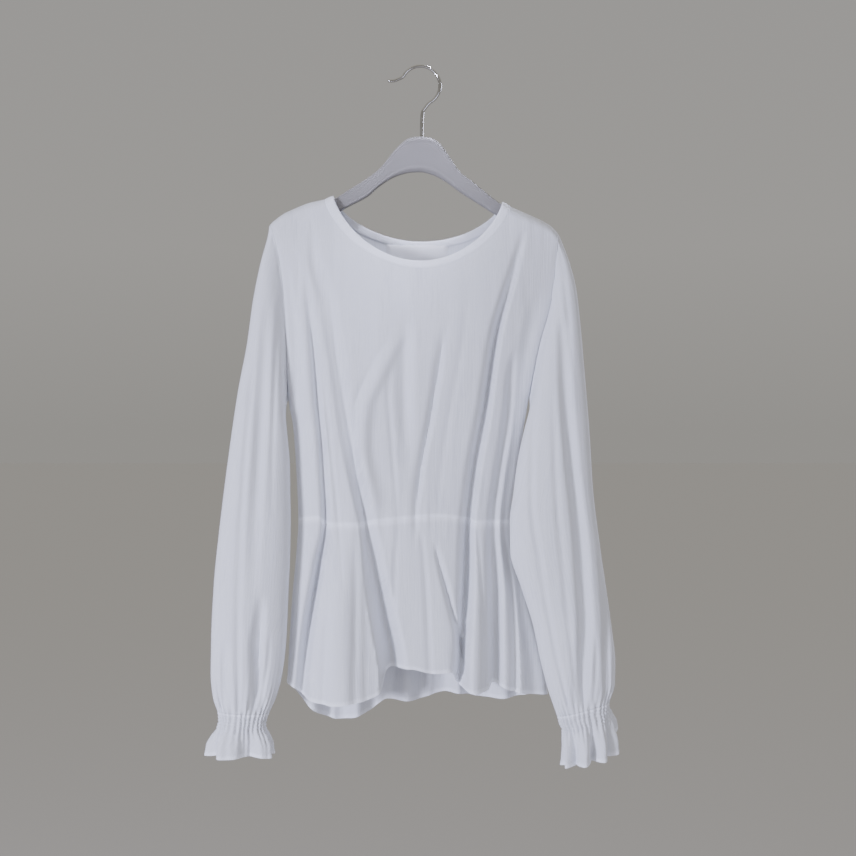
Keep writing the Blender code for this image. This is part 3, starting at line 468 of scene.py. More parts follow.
SLEEVE_CREASES = make_folds(
    left_inner=((-230, -160, 5, 0), (-290, -161, 6, 1.6), (-370, -163, 6, 2.0), (-450, -165, 6, 1.2),
        (-520, -165, 6, 0)),
    left_middle=((-300, -186, 6, 0), (-370, -190, 7, 1.4), (-460, -196, 7, 2.0), (-560, -201, 8, 1.8),
        (-660, -202, 7, 2.4), (-724, -200, 5, 2.4)),
    left_notch=((-618, -177, 4, 0), (-640, -179, 4.5, 2.6), (-668, -180, 4, 2.6), (-700, -181, 4, 1.2),
        (-720, -184, 4, 0)),
    left_wrist_inner=((-630, -166, 4, 0), (-660, -168, 5, 1.6), (-700, -174, 5, 2.6), (-726, -178, 4, 2.4)),
    left_wrist_outer=((-640, -226, 4, 0), (-680, -226, 5, 1.6), (-722, -221, 4, 2.2)),
    right_shoulder=((-215, 160, 5, 0), (-245, 161, 6, 1.4), (-300, 166, 6, 1.8), (-350, 170, 6, 0)),
    right_inner=((-330, 128, 6, 0), (-400, 124, 7, 1.8), (-480, 122, 7, 2.2), (-560, 132, 7, 1.8),
        (-640, 146, 6, 2.0), (-712, 163, 5, 2.4)),
    right_middle=((-360, 146, 6, 0), (-430, 148, 7, 1.6), (-500, 151, 7, 2.0), (-580, 158, 7, 1.6),
        (-660, 168, 6, 1.8), (-718, 173, 5, 2.2)),
    right_cuff_edge=((-620, 192, 4, 0), (-660, 194, 5, 1.6), (-716, 192, 4, 2.4)),
)

# Folds with one steep wall
FOLD_LEAN = {"left_soft": 0.8, "right_deep": 1.5, "right_mid": 1.5, "left_gap": 1.5, "right_notch": 1.6,
             "left_crease": 0.6, "centre_stripe": 1.5, "centre_crease": 1.6, "flare_crease": 1.5,
             "stripe_crisp": 1.6, "left_crisp": 0.6, "peplum_diagonal": 1.6, "bust_shadow": 1.6,
             "left_notch": 1.4}

# Places of the noise that one side of the cloth reads apart from the other
WANDER_SHIFT = 500
CRINKLE_SHIFT = 300
GATHER_SHIFT = 200
REAR_CRINKLE_SHIFT = 400

# Noise round a ring: its cells' width and length, and its seed
ARMHOLE_NOISE = (5.0, 400.0, 8)
BINDING_NOISE = (4.5, 50.0, 9)
SHIRR_CELL = 4.0
SHIRR_SEED = 10
SHIRR_JITTER = 0.5
PINCH_SHARE = 0.15
SMALL_WAVES = 13
SMALL_WAVE_SHARE = 0.25
SLEEVE_WANDER = 0.6

# Uneven ripples: across, along, how far the cloth moves, and the seed of each
CRINKLES = ((7.0, 90.0, 0.28, 3), (17.0, 150.0, 0.75, 4), (46.0, 130.0, 1.3, 5))
FOLD_WANDER = (60.0, 110.0, 2.6, 6)
GATHERS = (4.6, 300.0, 0.9, 7)
GATHER_REACH = 16.0
CUFF_GATHERS = 30
CUFF_GATHER_REACH = 26.0


def noise(u, v, width, length, seed):
    """Smooth uneven values from -1 to 1, over cells of the given width and length."""
    lattice = np.random.default_rng(seed).uniform(-1, 1, (NOISE_CELLS, NOISE_CELLS))
    a, b = u / width, v / length
    i, j = np.floor(a).astype(int), np.floor(b).astype(int)
    s, t = a - i, b - j
    s, t = s * s * (3 - 2 * s), t * t * (3 - 2 * t)
    corner = [[lattice[(i + di) % NOISE_CELLS, (j + dj) % NOISE_CELLS] for dj in (0, 1)] for di in (0, 1)]
    near = corner[0][0] + t * (corner[0][1] - corner[0][0])
    far = corner[1][0] + t * (corner[1][1] - corner[1][0])
    return near + s * (far - near)


def crinkle(u, v):
    total = np.zeros(np.shape(u))
    for width, length, height, seed in CRINKLES:
        total = total + height * noise(u, v, width, length, seed)
    return total


def armhole_down(on_left, z):
    """0 at the shoulder tip and 1 at the underarm, on the left side or the right."""
    tip = np.where(on_left, LEFT_ARMHOLE[0], RIGHT_ARMHOLE[0])
    under = np.where(on_left, LEFT_ARMHOLE[1], RIGHT_ARMHOLE[1])
    return np.clip((tip - z) / (tip - under), 0, 1)


def fold_depth(folds, x, z, sharp=2.0):
    """How far the folds push the cloth in at x, z. A lean below 1 moves a fold's floor to the left."""
    total = np.zeros(np.shape(x))
    for name, fold in folds.items():
        across = np.clip((x - fold.read("x", z)) / fold.read("half", z), -1, 1)
        share = ((across + 1) / 2) ** FOLD_LEAN.get(name, 1.0)
        total = total + fold.read("depth", z) * np.sin(share * math.pi) ** sharp
    return total


def body_y(x, z, facing):
    """Y of the body's cloth at x, z: facing is -1 for the front, 1 for the back."""
    left, right = BODY_SHAPE.read("left", z), BODY_SHAPE.read("right", z)
    middle = (left + right) / 2
    across = np.clip(abs(x - middle) / ((right - left) / 2), 0, 1)
    front = facing < 0
    depth = np.where(front, BODY_SHAPE.read("front", z), BODY_SHAPE.read("back", z))
    opened = np.sqrt(1 - armhole_down(x < middle, z) ** 4)
    edge = ARMHOLE_DEPTH * opened
    crown = (1 - across ** 3) ** (0.5 + 0.5 * opened)
    below = np.clip((RIDGE.read("z", x) - z) / RIDGE_DROP, 0, 1)
    rounding = np.sqrt(1 - (1 - below) ** 2)
    inside = 1 - across ** 8
    width, length, reach, seed = FOLD_WANDER
    wandered = x + reach * noise(x + WANDER_SHIFT * front, z, width, length, seed) * inside
    folds = np.where(front, fold_depth(FRONT_FOLDS, wandered, z), fold_depth(BACK_FOLDS, wandered, z))
    fine = np.where(front, fold_depth(FRONT_CREASES, wandered, z, 3.0),
                    fold_depth(BACK_CREASES, wandered, z, 3.0))
    fine = fine + crinkle(x + CRINKLE_SHIFT * front, z)
    width, length, height, seed = GATHERS
    from_waist = abs(z - WAIST.read("z", x)) / GATHER_REACH
    fine = fine + height * noise(x + GATHER_SHIFT * front, z, width, length, seed) * np.exp(-from_waist)
    full = edge + (depth - edge) * crown
    folded = full - (folds + fine * below) * inside
    folded = np.maximum(folded, np.minimum(full, LEAST_REACH))
    return BODY_SHAPE.read("side_y", z) + facing * folded * rounding


def neck_point(neck, angle, facing):
    """A point of a neck curve in the front view, from the left peak (0) to the right peak (pi)."""
    middle, half = (neck["left"] + neck["right"]) / 2, (neck["right"] - neck["left"]) / 2
    x = middle - half * np.cos(angle)
    share = (x - neck["left"]) / (2 * half)
    peak = neck["left_z"] + (neck["right_z"] - neck["left_z"]) * share
    depth = np.where(facing < 0, neck["front"], neck["back"])
    return x, peak - depth * abs(np.sin(angle)) ** NECK_CURVE


def around(count):
    """Angles of one turn in even steps, without the last one."""
    return np.linspace(0, 2 * math.pi, count + 1)[:-1]


def squared(values, power):
    """A sine or cosine made fuller (power below 1), with its sign kept."""
    return np.sign(values) * abs(values) ** power


def run_of(line):
    """Distance along a line of points from its first one."""
    return np.concatenate([[0], np.cumsum(np.linalg.norm(np.diff(line, axis=0), axis=1))])


def hollow(distance, reach):
    """1 at a line, falling smoothly to 0 beyond reach."""
    return np.exp(-(distance / reach) ** 2)


def unit(vectors):
    return vectors / np.maximum(np.linalg.norm(vectors, axis=-1, keepdims=True), 1e-9)


def slopes_along(points, axis, closed):
    if closed:
        return np.roll(points, -1, axis) - np.roll(points, 1, axis)
    return np.gradient(points, axis=axis)


def outward_of(points, closed, centre_hint):
    """Unit vectors across the cloth at each point of a grid, away from centre_hint."""
    normal = unit(np.cross(slopes_along(points, 1, closed), slopes_along(points, 0, False)))
    turned = np.sum(normal * (points - centre_hint)) < 0
    return -normal if turned else normal


def left_edge(z):
    return BODY_SHAPE.read("left", z)


def right_edge(z):
    return BODY_SHAPE.read("right", z)


def waist_shares(count):
    """Where the columns lie across the body, closer together near the side seams."""
    even = np.linspace(0, 1, count + 1)
    return (1 - SIDE_CROWDING) * even + SIDE_CROWDING * (1 - np.cos(math.pi * even)) / 2


def body_points(share, z, facing):
    x = left_edge(z) + share * (right_edge(z) - left_edge(z))
    return np.stack([x, body_y(x, z, facing), z], -1)


def near_edge(distance, reach):
    """1 within reach of an edge, 0 beyond it, with a soft step between."""
    return 1 / (1 + np.exp(np.clip((distance - reach) / STEP_BLUR, -50, 50)))


def run_along(points, axis):
    """Distance along the cloth from the first row or column, in mm."""
    steps = np.linalg.norm(np.diff(points, axis=axis), axis=-1)
    start = np.zeros_like(np.take(steps, [0], axis))
    return np.concatenate([start, np.cumsum(steps, axis)], axis)


def hem_swell(points, outward, run_to_edge):
    """A turned hem: the last few millimetres stand proud, with a dent where the stitches pull."""
    share = run_to_edge / HEM_HEIGHT
    swell = np.where(share < 1, 1.0, np.exp(-((share - 1) * HEM_SWELL_FADE) ** 2))
    dent = np.exp(-((share - HEM_DENT["at"]) * HEM_DENT["fade"]) ** 2)
    return points + outward * (HEM_SWELL * (swell - HEM_DENT["share"] * dent))[..., None]


def line_at(points, run_to_edge, distance):
    """The line on a grid's columns that lies at the given distance from its last row."""
    line = np.empty((points.shape[1], 3))
    for column in range(points.shape[1]):
        away = run_to_edge[::-1, column]
        for axis in range(3):
            line[column, axis] = np.interp(distance, away, points[::-1, column, axis])
    return line


def bodice_points(facing):
    """Points of the front or back bodice, from the top edge to the waist."""
    even = np.linspace(0, math.pi, NECK_STEPS + 1)
    angle = (even - NECK_CLUSTER * np.sin(2 * even))[1:-1]
    neck_x, neck_z = neck_point(NECK_SEAM, angle, np.full_like(angle, facing))
    left_x = np.linspace(LEFT_TIP_X, NECK_SEAM["left"], SHOULDER_STEPS + 1)
    right_x = np.linspace(NECK_SEAM["right"], RIGHT_TIP_X, SHOULDER_STEPS + 1)
    top_x = np.concatenate([left_x, neck_x, right_x])
    top_z = np.concatenate([RIDGE.read("z", left_x), neck_z, RIDGE.read("z", right_x)])
    top_share = (top_x - left_edge(top_z)) / (right_edge(top_z) - left_edge(top_z))
    low_share = waist_shares(len(top_x) - 1)
    low_x = left_edge(WAIST_Z) + low_share * (right_edge(WAIST_Z) - left_edge(WAIST_Z))
    low_z = WAIST.read("z", low_x)
    underarm_z = np.interp(low_share, (0, 1), (LEFT_ARMHOLE[1], RIGHT_ARMHOLE[1]))
    upper = np.linspace(0, 1, UPPER_ROWS + 1)[:, None] ** TOP_CROWDING
    lower = np.linspace(0, 1, LOWER_ROWS + 1)[1:, None]
    z = np.concatenate([top_z + upper * (underarm_z - top_z), underarm_z + lower * (low_z - underarm_z)])
    height = (z - low_z) / (top_z - low_z)
    share = low_share + (top_share - low_share) * height
    return body_points(share, z, facing)


def peplum_points(facing, hem):
    share = waist_shares(2 * SHOULDER_STEPS + NECK_STEPS)
    low_x = left_edge(WAIST_Z) + share * (right_edge(WAIST_Z) - left_edge(WAIST_Z))
    top = WAIST.read("z", low_x)
    hem_x = left_edge(HEM_Z) + share * (right_edge(HEM_Z) - left_edge(HEM_Z))
    steps = np.linspace(0, 1, PEPLUM_ROWS + 1)[:, None] ** PEPLUM_CROWDING
    z = top + steps * (hem.read("z", hem_x) - top)
    points = body_points(np.broadcast_to(share, z.shape), z, facing)
    behind_sleeve = np.clip((WAIST_Z - SLEEVE_LAP_BELOW_WAIST - z) / SLEEVE_LAP_RUN, 0, 1)
    points[..., 0] += SLEEVE_LAP * behind_sleeve * share ** 6
    return points


def ring_points(table, row, angle):
    """A ring of a sleeve or cuff: angle 0 is its outer edge, pi/2 its front, pi its inner edge."""
    outer = np.stack([table.read("outer_x", row), table.read("outer_z", row)], -1)
    inner = np.stack([table.read("inner_x", row), table.read("inner_z", row)], -1)
    share = (1 + np.cos(angle))[..., None] / 2
    flat = inner + (outer - inner) * share
    y = table.read("centre_y", row) - table.read("half_depth", row) * squared(np.sin(angle), RING_FULLNESS)
    return np.stack([flat[..., 0], y, flat[..., 1]], -1)


def cuff_gathers(angle, from_seam, phase):
    """Small uneven pleats that the cuff's elastic draws into the cloth beside its seam."""
    swing = np.cos(CUFF_GATHERS * angle + phase + 1.3 * np.sin(3 * angle) + 0.8 * np.sin(7 * angle + 1))
    return swing * np.exp(-from_seam / CUFF_GATHER_REACH)


def sleeve_points(table, side_x, armhole, outward, phase):
    tip, under = armhole
    row = np.linspace(0, 1, SLEEVE_RINGS + 1)[:, None] * table.keys[-1]
    row, angle = np.broadcast_arrays(row, around(SLEEVE_POINTS)[None])
    joined = np.sin(np.clip(row / ARMHOLE_BLEND, 0, 1) * math.pi / 2)
    points = ring_points(table, row, angle)
    front = np.maximum(np.sin(angle), 0)
    rear = np.maximum(-np.sin(angle), 0)
    points[..., 0] -= outward * table.read("bow", row) * front
    x, z = points[..., 0], points[..., 2]
    width, length, reach, seed = FOLD_WANDER
    wandered = x + SLEEVE_WANDER * reach * noise(x, z, width, length, seed)
    folds = fold_depth(SLEEVE_FOLDS, wandered, z) + fold_depth(SLEEVE_CREASES, wandered, z, 3.0)
    mirrored = fold_depth(SLEEVE_CREASES, wandered + REAR_FOLD_SHIFT, z, 3.0)
    pushed = folds * front ** 0.5 - mirrored * rear ** 0.5
    pushed = pushed + SLEEVE_CRINKLE * (crinkle(x, z) * front - crinkle(x + REAR_CRINKLE_SHIFT, z) * rear)
    to_end = np.clip((table.keys[-1] - row) * (points[0, 0, 2] - points[-1, 0, 2]) / table.keys[-1], 0, None)
    points[..., 1] += pushed * np.clip(to_end / SLEEVE_END_FADE, 0, 1)
    facing = -np.sign(np.round(np.sin(angle), 6))
    loop_z = tip + (under - tip) * (1 - np.cos(angle)) / 2
    loop_x = side_x(loop_z)
    loop = np.stack([loop_x, body_y(loop_x, loop_z, facing), loop_z], -1)
    points = loop + (points - loop) * joined[..., None]
    along = run_along(points, 0)
    pleats = CUFF_PLEAT * cuff_gathers(angle, along[-1] - along, phase)
    fade = np.exp(-along / ARMHOLE_PUCKER_REACH)
    head = ARMHOLE_PUCKER * noise(60 * abs(angle - math.pi), along, *ARMHOLE_NOISE) * fade
    out = tube_outward(points)
    points[..., 1] -= facing * ARMHOLE_DIP * hollow(along, ARMHOLE_DIP_REACH) * np.sin(angle) ** 2
    return points + out * (pleats + head * np.clip(along / 2, 0, 1))[..., None]


def flip_up(points, row_share, angle):
    """Turns a frill's rear outer part up and outward."""
    turned = (angle - FLIP_ANGLE + math.pi) % (2 * math.pi) - math.pi
    share = hollow(turned, FLIP_WIDTH)
    points[..., 0] += FLIP_OUT * share * row_share ** 0.7
    points[..., 2] += FLIP_UP * share * row_share ** 1.2


def cuff_points(table, frill, gather_phase):
    """The shirred band and its frill: rows of elastic pinch the band, and the frill swings below it."""
    row = np.linspace(0, 1, CUFF_RINGS + 1)[:, None] * table.keys[-1]
    row, angle = np.broadcast_arrays(row, around(CUFF_POINTS)[None])
    points = ring_points(table, row, angle)
    from_axis = points - points.mean(axis=(0, 1))
    out = unit(from_axis * (1, 2, 0))
    swing = np.cos(frill["waves"] * angle + frill["phase"] + 0.7 * np.sin(2 * angle))
    small = np.cos(SMALL_WAVES * angle + 2 * gather_phase + np.sin(3 * angle))
    notch = NOTCH_DEPTH * hollow(angle - frill["notch"], NOTCH_WIDTH)
    row_share = row / table.keys[-1]
    wave = table.read("wave", row) * (swing + SMALL_WAVE_SHARE * small) - notch * row_share ** 2
    along = run_along(points, 0)
    in_band = 1 / (1 + np.exp((along - BAND_HEIGHT) / BAND_BLUR))
    rows_apart = BAND_HEIGHT / ELASTIC_ROWS
    started = np.clip(along / rows_apart, 0, 1)
    pinch = np.cos(2 * math.pi * along / rows_apart) * started
    jitter_noise = noise(40 * abs(angle - math.pi), along, SHIRR_CELL, rows_apart, SHIRR_SEED)
    jitter = SHIRR_JITTER * jitter_noise * started
    ripple = cuff_gathers(angle, 0, gather_phase) + jitter
    band = in_band * (SHIRR_DEPTH * ripple * (1 - PINCH_SHARE * pinch) - PINCH_DEPTH * pinch)
    below = (1 - in_band) * np.exp(-(along - BAND_HEIGHT) / RIPPLE_REACH)
    points = points + out * (wave + band + below * SHIRR_DEPTH * ripple)[..., None]
    points[..., 2] -= FRILL_DROP * row_share ** 2 * swing
    if frill["flipped"]:
        flip_up(points, row_share, angle)
    return points


def tube_outward(points):
    return outward_of(points, True, points.mean(axis=1, keepdims=True))


def add_object(name, data):
    thing = bpy.data.objects.new(name, data)
    bpy.context.scene.collection.objects.link(thing)
    return thing


def build_mesh(name, verts, faces, material, nodes=(), doubled=None, runs=None, sharp=55):
    """A mesh object from points in millimetres. doubled marks cloth that lies in two layers."""
    mesh = bpy.data.meshes.new(name)
    mesh.from_pydata((verts * MM).tolist(), [], faces.tolist())
    if doubled is not None:
        layer = mesh.attributes.new("doubled", "FLOAT", "POINT")
        layer.data.foreach_set("value", doubled.ravel().astype(np.float32))
    if runs is not None:
        corners = np.empty(len(mesh.loops), np.int32)
        mesh.loops.foreach_get("vertex_index", corners)
        cloth_map = mesh.uv_layers.new(name="cloth")
        cloth_map.data.foreach_set("uv", (runs[corners] * MM).ravel().astype(np.float32))
    mesh.materials.append(material)
    mesh.shade_smooth()
    mesh.set_sharp_from_angle(angle=math.radians(sharp))
    thing = add_object(name, mesh)
    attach(thing, BODY)
    if nodes:
        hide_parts(*nodes)
    return thing


def grid_faces(index):
    """Quads of a grid of point numbers."""
    a, b, c, d = index[:-1, :-1], index[:-1, 1:], index[1:, 1:], index[1:, :-1]
    return np.stack([a, b, c, d], -1).reshape(-1, 4)


def tube_faces(rings):
    """Quads round a stack of rings of points."""
    index = np.arange(rings.shape[0] * rings.shape[1]).reshape(rings.shape[:2])
    return grid_faces(np.concatenate([index, index[:, :1]], 1))


def turn_out(points, faces):
    """The faces of a closed shape, turned round if they look inward."""
    volume = np.sum(np.cross(points[faces[:, 0]], points[faces[:, 1]]) * points[faces[:, 2]])
    return faces[:, ::-1] if volume < 0 else faces


def rim_faces(edge, count):
    """Quads from an edge of the outer layer to the same edge of the inner layer."""
    return np.stack([edge[1:], edge[:-1], edge[:-1] + count, edge[1:] + count], -1)


def upright_runs(points):
    """Texture places that keep the threads of a body panel upright."""
    return np.stack([points[..., 0] + THREAD_TILT * points[..., 1], points[..., 2]], -1)


def make_cloth(name, node, points, outward, closed, material, doubled=None, runs=None):
    """A thin shell: the outer points, the same points moved inward, and rims at its open edges."""
    rows, columns = points.shape[:2]
    count = rows * columns
    verts = np.concatenate([points.reshape(-1, 3), (points - outward * SHELL).reshape(-1, 3)])
    index = np.arange(count).reshape(rows, columns)
    if closed:
        index = np.concatenate([index, index[:, :1]], 1)
    outer = grid_faces(index)
    parts = [outer, outer[:, ::-1] + count, rim_faces(index[0], count), rim_faces(index[-1][::-1], count)]
    if not closed:
        parts += [rim_faces(index[::-1, 0], count), rim_faces(index[:, -1], count)]
    faces = np.concatenate(parts)
    middle = verts[outer[:, :4]]
    facing = np.cross(middle[:, 2] - middle[:, 0], middle[:, 3] - middle[:, 1])
    if np.sum(facing * outward.reshape(-1, 3)[outer[:, 0]]) < 0:
        faces = faces[:, ::-1]
    if runs is None:
        runs = np.stack([run_along(points, 1), run_along(points, 0)], -1)
    shade = np.zeros((rows, columns)) if doubled is None else doubled
    return build_mesh(name, verts, faces, material, (node,), np.tile(shade.ravel(), 2),
                      np.tile(runs.reshape(-1, 2), (2, 1)))


def make_body_panel(name, node, facing, points):
    """A bodice or peplum panel, with its seam allowances and a peplum's hem shown as doubled cloth."""
    is_peplum = node.startswith("peplum")
    outward = outward_of(points, False, BODY_CENTRE)
    along = run_along(points, 0)
    to_edge = along[-1] - along
    if is_peplum:
        to_waist = along
        points = hem_swell(points, outward, to_edge)
        doubled = np.maximum(near_edge(to_edge, HEM_HEIGHT), near_edge(along, SEAM_BAND))
        points = points + outward * (SEAM_RISE * hollow(along - SEAM_RISE_AT, SEAM_RISE_REACH))[..., None]
    else:
        to_waist = to_edge
        doubled = near_edge(to_edge, SEAM_BAND)
    across = run_along(points, 1)
    to_side = np.minimum(across, across[:, -1:] - across)
    points = points - outward * (SEAM_DIP * hollow(np.minimum(to_side, to_waist), SEAM_DIP_REACH))[..., None]
    if is_peplum:
        stitch_hem(name, points, outward, to_edge, False)
    else:
        share = 1 - (1 - 2 * armhole_down(points[..., 0] < 0, points[..., 2])) ** 2
        points[..., 1] -= facing * ARMHOLE_DIP * share * hollow(to_side, ARMHOLE_DIP_REACH)
    return make_cloth(name, node, points, outward, False, CLOTH, doubled=doubled, runs=upright_runs(points))


def stitch_hem(name, points, outward, to_edge, closed):
    line = line_at(points, to_edge, HEM_STITCH)
    rise = line_at(outward, to_edge, HEM_STITCH)
    if closed:
        line, rise = np.vstack([line, line[:1]]), np.vstack([rise, rise[:1]])
    make_stitches(name + "_hem_stitches", line + rise * STITCH_LIFT, rise)


def make_cuff(side, points):
    """A cuff with its seam and its hem shown as doubled cloth."""
    outward = tube_outward(points)
    along = run_along(points, 0)
    to_edge = along[-1] - along
    doubled = np.maximum(near_edge(to_edge, HEM_HEIGHT), near_edge(along, CUFF_SEAM_BAND))
    points = hem_swell(points, outward, to_edge)
    stitch_hem(side + "_cuff", points, outward, to_edge, True)
    return make_cloth(side + "_cuff_cloth", "cuff_" + side, points, outward, True, CLOTH, doubled=doubled)


def make_binding():
    """The neck binding: a folded strip with soft edges, one closed ring, and its row of stitches."""
    turn = around(BINDING_STEPS)
    facing = -np.sign(np.round(np.sin(turn), 6))
    edge_x, edge_z = neck_point(NECK_EDGE, turn, facing)
    seam_x, seam_z = neck_point(NECK_SEAM, turn, facing)
    rows = []
    for share in (0.0, 0.5, 1.0):
        x, z = edge_x + (seam_x - edge_x) * share, edge_z + (seam_z - edge_z) * share
        rows.append(np.stack([x, body_y(x, z, facing), z], -1))
    middle = np.stack(rows)
    outward = outward_of(middle, True, NECK_CENTRE)[1]
    verts = []
    pucker = BINDING_PUCKER * noise(run_along(middle[1][None], 1)[0], 0 * turn, *BINDING_NOISE)
    for phi in around(BINDING_SECTION):
        share = 0.5 - BINDING_SPREAD * math.cos(phi)
        side = math.copysign(abs(math.sin(phi)) ** BINDING_FULLNESS, math.sin(phi))
        flat = middle[0] + (middle[2] - middle[0]) * share
        lift = BINDING_HALF * (side - BINDING_SINK) + pucker * math.sin(phi) ** 2
        verts.append(flat + outward * lift[..., None])
    verts = np.stack(verts)
    points = verts.reshape(-1, 3)
    faces = turn_out(points, tube_faces(np.concatenate([verts, verts[:1]])) % len(points))
    runs = np.stack([run_along(verts, 1), run_along(verts, 0)], -1).reshape(-1, 2)
    line = middle[0] + (middle[2] - middle[0]) * BINDING_STITCH + outward * BINDING_HALF * BINDING_STITCH_LIFT
    line, rise = np.vstack([line, line[:1]]), np.vstack([outward, outward[:1]])
    make_stitches("neck_binding_stitches", line, rise)
    return build_mesh("neck_binding_strip", points, faces, CLOTH, ("neck_binding",),
                      np.ones(len(points)), runs)


def make_label():
    """The bare neck label: a strip of satin tape whose top and side edges curl back to the cloth."""
    across = np.linspace(0, 1, LABEL_COLUMNS + 1)[None, :]
    down = np.linspace(0, 1, LABEL_ROWS + 1)[:, None]
    across, down = np.broadcast_arrays(across, down)
    x = LABEL["left"] + across * (LABEL["right"] - LABEL["left"])
    z = LABEL["top"] + down * (LABEL["bottom"] - LABEL["top"])
    from_edge = np.minimum(np.minimum(across, 1 - across) * (LABEL["right"] - LABEL["left"]),
                           down * (LABEL["top"] - LABEL["bottom"]))
    rise = 1 - np.exp(-(from_edge / LABEL_CURL) ** 1.5)
    smooth_y = np.stack([body_y(x + dx, z, 1) for dx in LABEL_SMOOTHING]).mean(axis=0)
    y = smooth_y * rise + body_y(x, z, 1) * (1 - rise) - SHELL - LABEL_GAP - LABEL["lift"] * rise
    points = np.stack([x, y, z], -1)
    outward = outward_of(points, False, points.mean(axis=(0, 1)) + (0, 50, 0))
    return make_cloth("neck_label_tape", "label", points, outward, False, LABEL_TAPE)


def make_hanger():
    """The hanger on a finer grid: sections with soft corners, a shallow web and a lip along both edges."""
    first, last = HANGER.keys[0], HANGER.keys[-1]
    share = np.linspace(0, 1, HANGER_STATIONS + 1)
    eased = (1 - np.cos(math.pi * share)) / 2
    x = first + (last - first) * ((1 - HANGER_CROWDING) * share + HANGER_CROWDING * eased)
    turn = around(HANGER_SECTION_POINTS)
    top, bottom = HANGER.read("top", x), HANGER.read("bottom", x)
    tip = np.minimum(1, np.minimum(x - first, last - x) / HANGER_TIP_LENGTH + HANGER_TIP_SHARE)
    side = squared(np.cos(turn), HANGER_SQUARENESS)
    rise = squared(np.sin(turn), HANGER_SQUARENESS)
    web = 1 - np.clip((abs(rise) - HANGER_LIP_SHARE) / HANGER_LIP_STEP, 0, 1)
    y = tip[:, None] * (HANGER_HALF_THICKNESS * side - HANGER_LIP * np.sign(side) * web)
    z = ((top + bottom) / 2)[:, None] + ((top - bottom) / 2)[:, None] * rise
    rings = np.stack([np.broadcast_to(x[:, None], y.shape), y, z], -1)
    index = np.arange(rings.shape[0] * rings.shape[1]).reshape(rings.shape[:2])
    half = HANGER_SECTION_POINTS // 2 - 1
    caps = [np.array([[ring[k], ring[k + 1], ring[-k - 2], ring[-k - 1]] for k in range(half)])
            for ring in (index[0], index[-1])]
    points = rings.reshape(-1, 3)
    faces = turn_out(points, np.concatenate([tube_faces(rings), caps[0][:, ::-1], caps[1]]))
    return build_mesh("hanger_arch", points, faces, PLASTIC, ("hanger_body",), sharp=60)


def smooth_route(points, count):
    """Points at even steps along a smooth curve through the given ones."""
    points = np.array(points, float)
    run = run_of(points)
    curve = Table("run x z", *[(r, *p) for r, p in zip(run, points)])
    even = np.linspace(0, run[-1], count)
    return np.stack([curve.read("x", even), curve.read("z", even)], -1)


def hook_route():
    """The hook's centre line, from the bottom of its shaft round the arch to its tip."""
    route = [(SHAFT_X, z) for z in (SHAFT_BOTTOM, *SHAFT_RISE)]
    route += HOOK_NECK
    centre_z = WIRE_RADIUS - HOOK_RADIUS
    for turn in np.radians(np.linspace(HOOK_START, HOOK_END, ARCH_STEPS + 1)):
        route.append((HOOK_RADIUS * math.cos(turn), centre_z + HOOK_RADIUS * math.sin(turn)))
    return route + list(HOOK_TIP)


def make_hook():
    """A round wire in the plane y = 0, with rounded ends."""
    route = smooth_route(hook_route(), HOOK_STEPS)
    from_end = np.clip(np.minimum(run_of(route[::-1])[::-1], run_of(route)) / WIRE_RADIUS, 0.02, 1)
    radii = (WIRE_RADIUS * np.sqrt(1 - (1 - from_end) ** 2))[:, None]
    along = unit(np.gradient(route, axis=0))
    side = np.stack([along[:, 1], -along[:, 0]], -1)
    turn = around(WIRE_SIDES)
    flat = route[:, None] + side[:, None] * (radii * np.cos(turn))[..., None]
    rings = np.stack([flat[..., 0], radii * np.sin(turn), flat[..., 1]], -1)
    points = rings.reshape(-1, 3)
    faces = turn_out(points, tube_faces(rings))
    build_mesh("hook_wire", points, faces, CHROME, ("hanger_hook",))


def make_stitches(name, line, outward):
    """A row of stitches: small lens-shaped threads that lie along a line on the cloth."""
    run = run_of(line)
    starts = np.arange(STITCH_SPACING, run[-1] - STITCH_SPACING, STITCH_SPACING)
    half = STITCH_LENGTH / 2

    def at(distance, values):
        return np.stack([np.interp(distance, run, values[:, k]) for k in range(3)], -1)

    middle, ahead = at(starts, line), unit(at(starts + half, line) - at(starts - half, line))
    up = unit(at(starts, outward))
    side = unit(np.cross(ahead, up))
    turn = around(STITCH_SIDES)
    rings = []
    for share, thick in STITCH_PROFILE:
        centre = middle + ahead * (share * half) + up * (thick * STITCH_RADIUS)
        spokes = side[:, None] * np.cos(turn)[:, None] + up[:, None] * np.sin(turn)[:, None]
        rings.append(centre[:, None] + STITCH_RADIUS * max(thick, 0.05) * spokes)
    verts = np.stack(rings, 1)
    first = np.arange(len(verts)) * len(STITCH_PROFILE) * STITCH_SIDES
    faces = [tube_faces(verts[0]) + start for start in first]
    return build_mesh(name, verts.reshape(-1, 3), np.concatenate(faces), THREAD)


def new_material(name, colour, roughness, metallic=0.0, sheen=0.0, sheen_roughness=0.5, specular=0.5):
    material = bpy.data.materials.new(name)
    material.use_nodes = True
    shader = material.node_tree.nodes["Principled BSDF"]
    for socket, value in (("Base Color", (*colour, 1)), ("Roughness", roughness), ("Metallic", metallic),
                          ("Sheen Weight", sheen), ("Sheen Roughness", sheen_roughness),
                          ("Specular IOR Level", specular)):
        shader.inputs[socket].default_value = value
    return material


def add_node(material, kind, inputs=(), **settings):
    """A node with its settings: inputs is pairs of a socket and its value, or the socket that feeds it."""
    node = material.node_tree.nodes.new(kind)
    for key, value in settings.items():
        setattr(node, key, value)
    for socket, value in inputs:
        if isinstance(value, bpy.types.NodeSocket):
            material.node_tree.links.new(value, node.inputs[socket])
        else:
            node.inputs[socket].default_value = value
    return node


def link(material, source, socket):
    material.node_tree.links.new(source, material.node_tree.nodes["Principled BSDF"].inputs[socket])


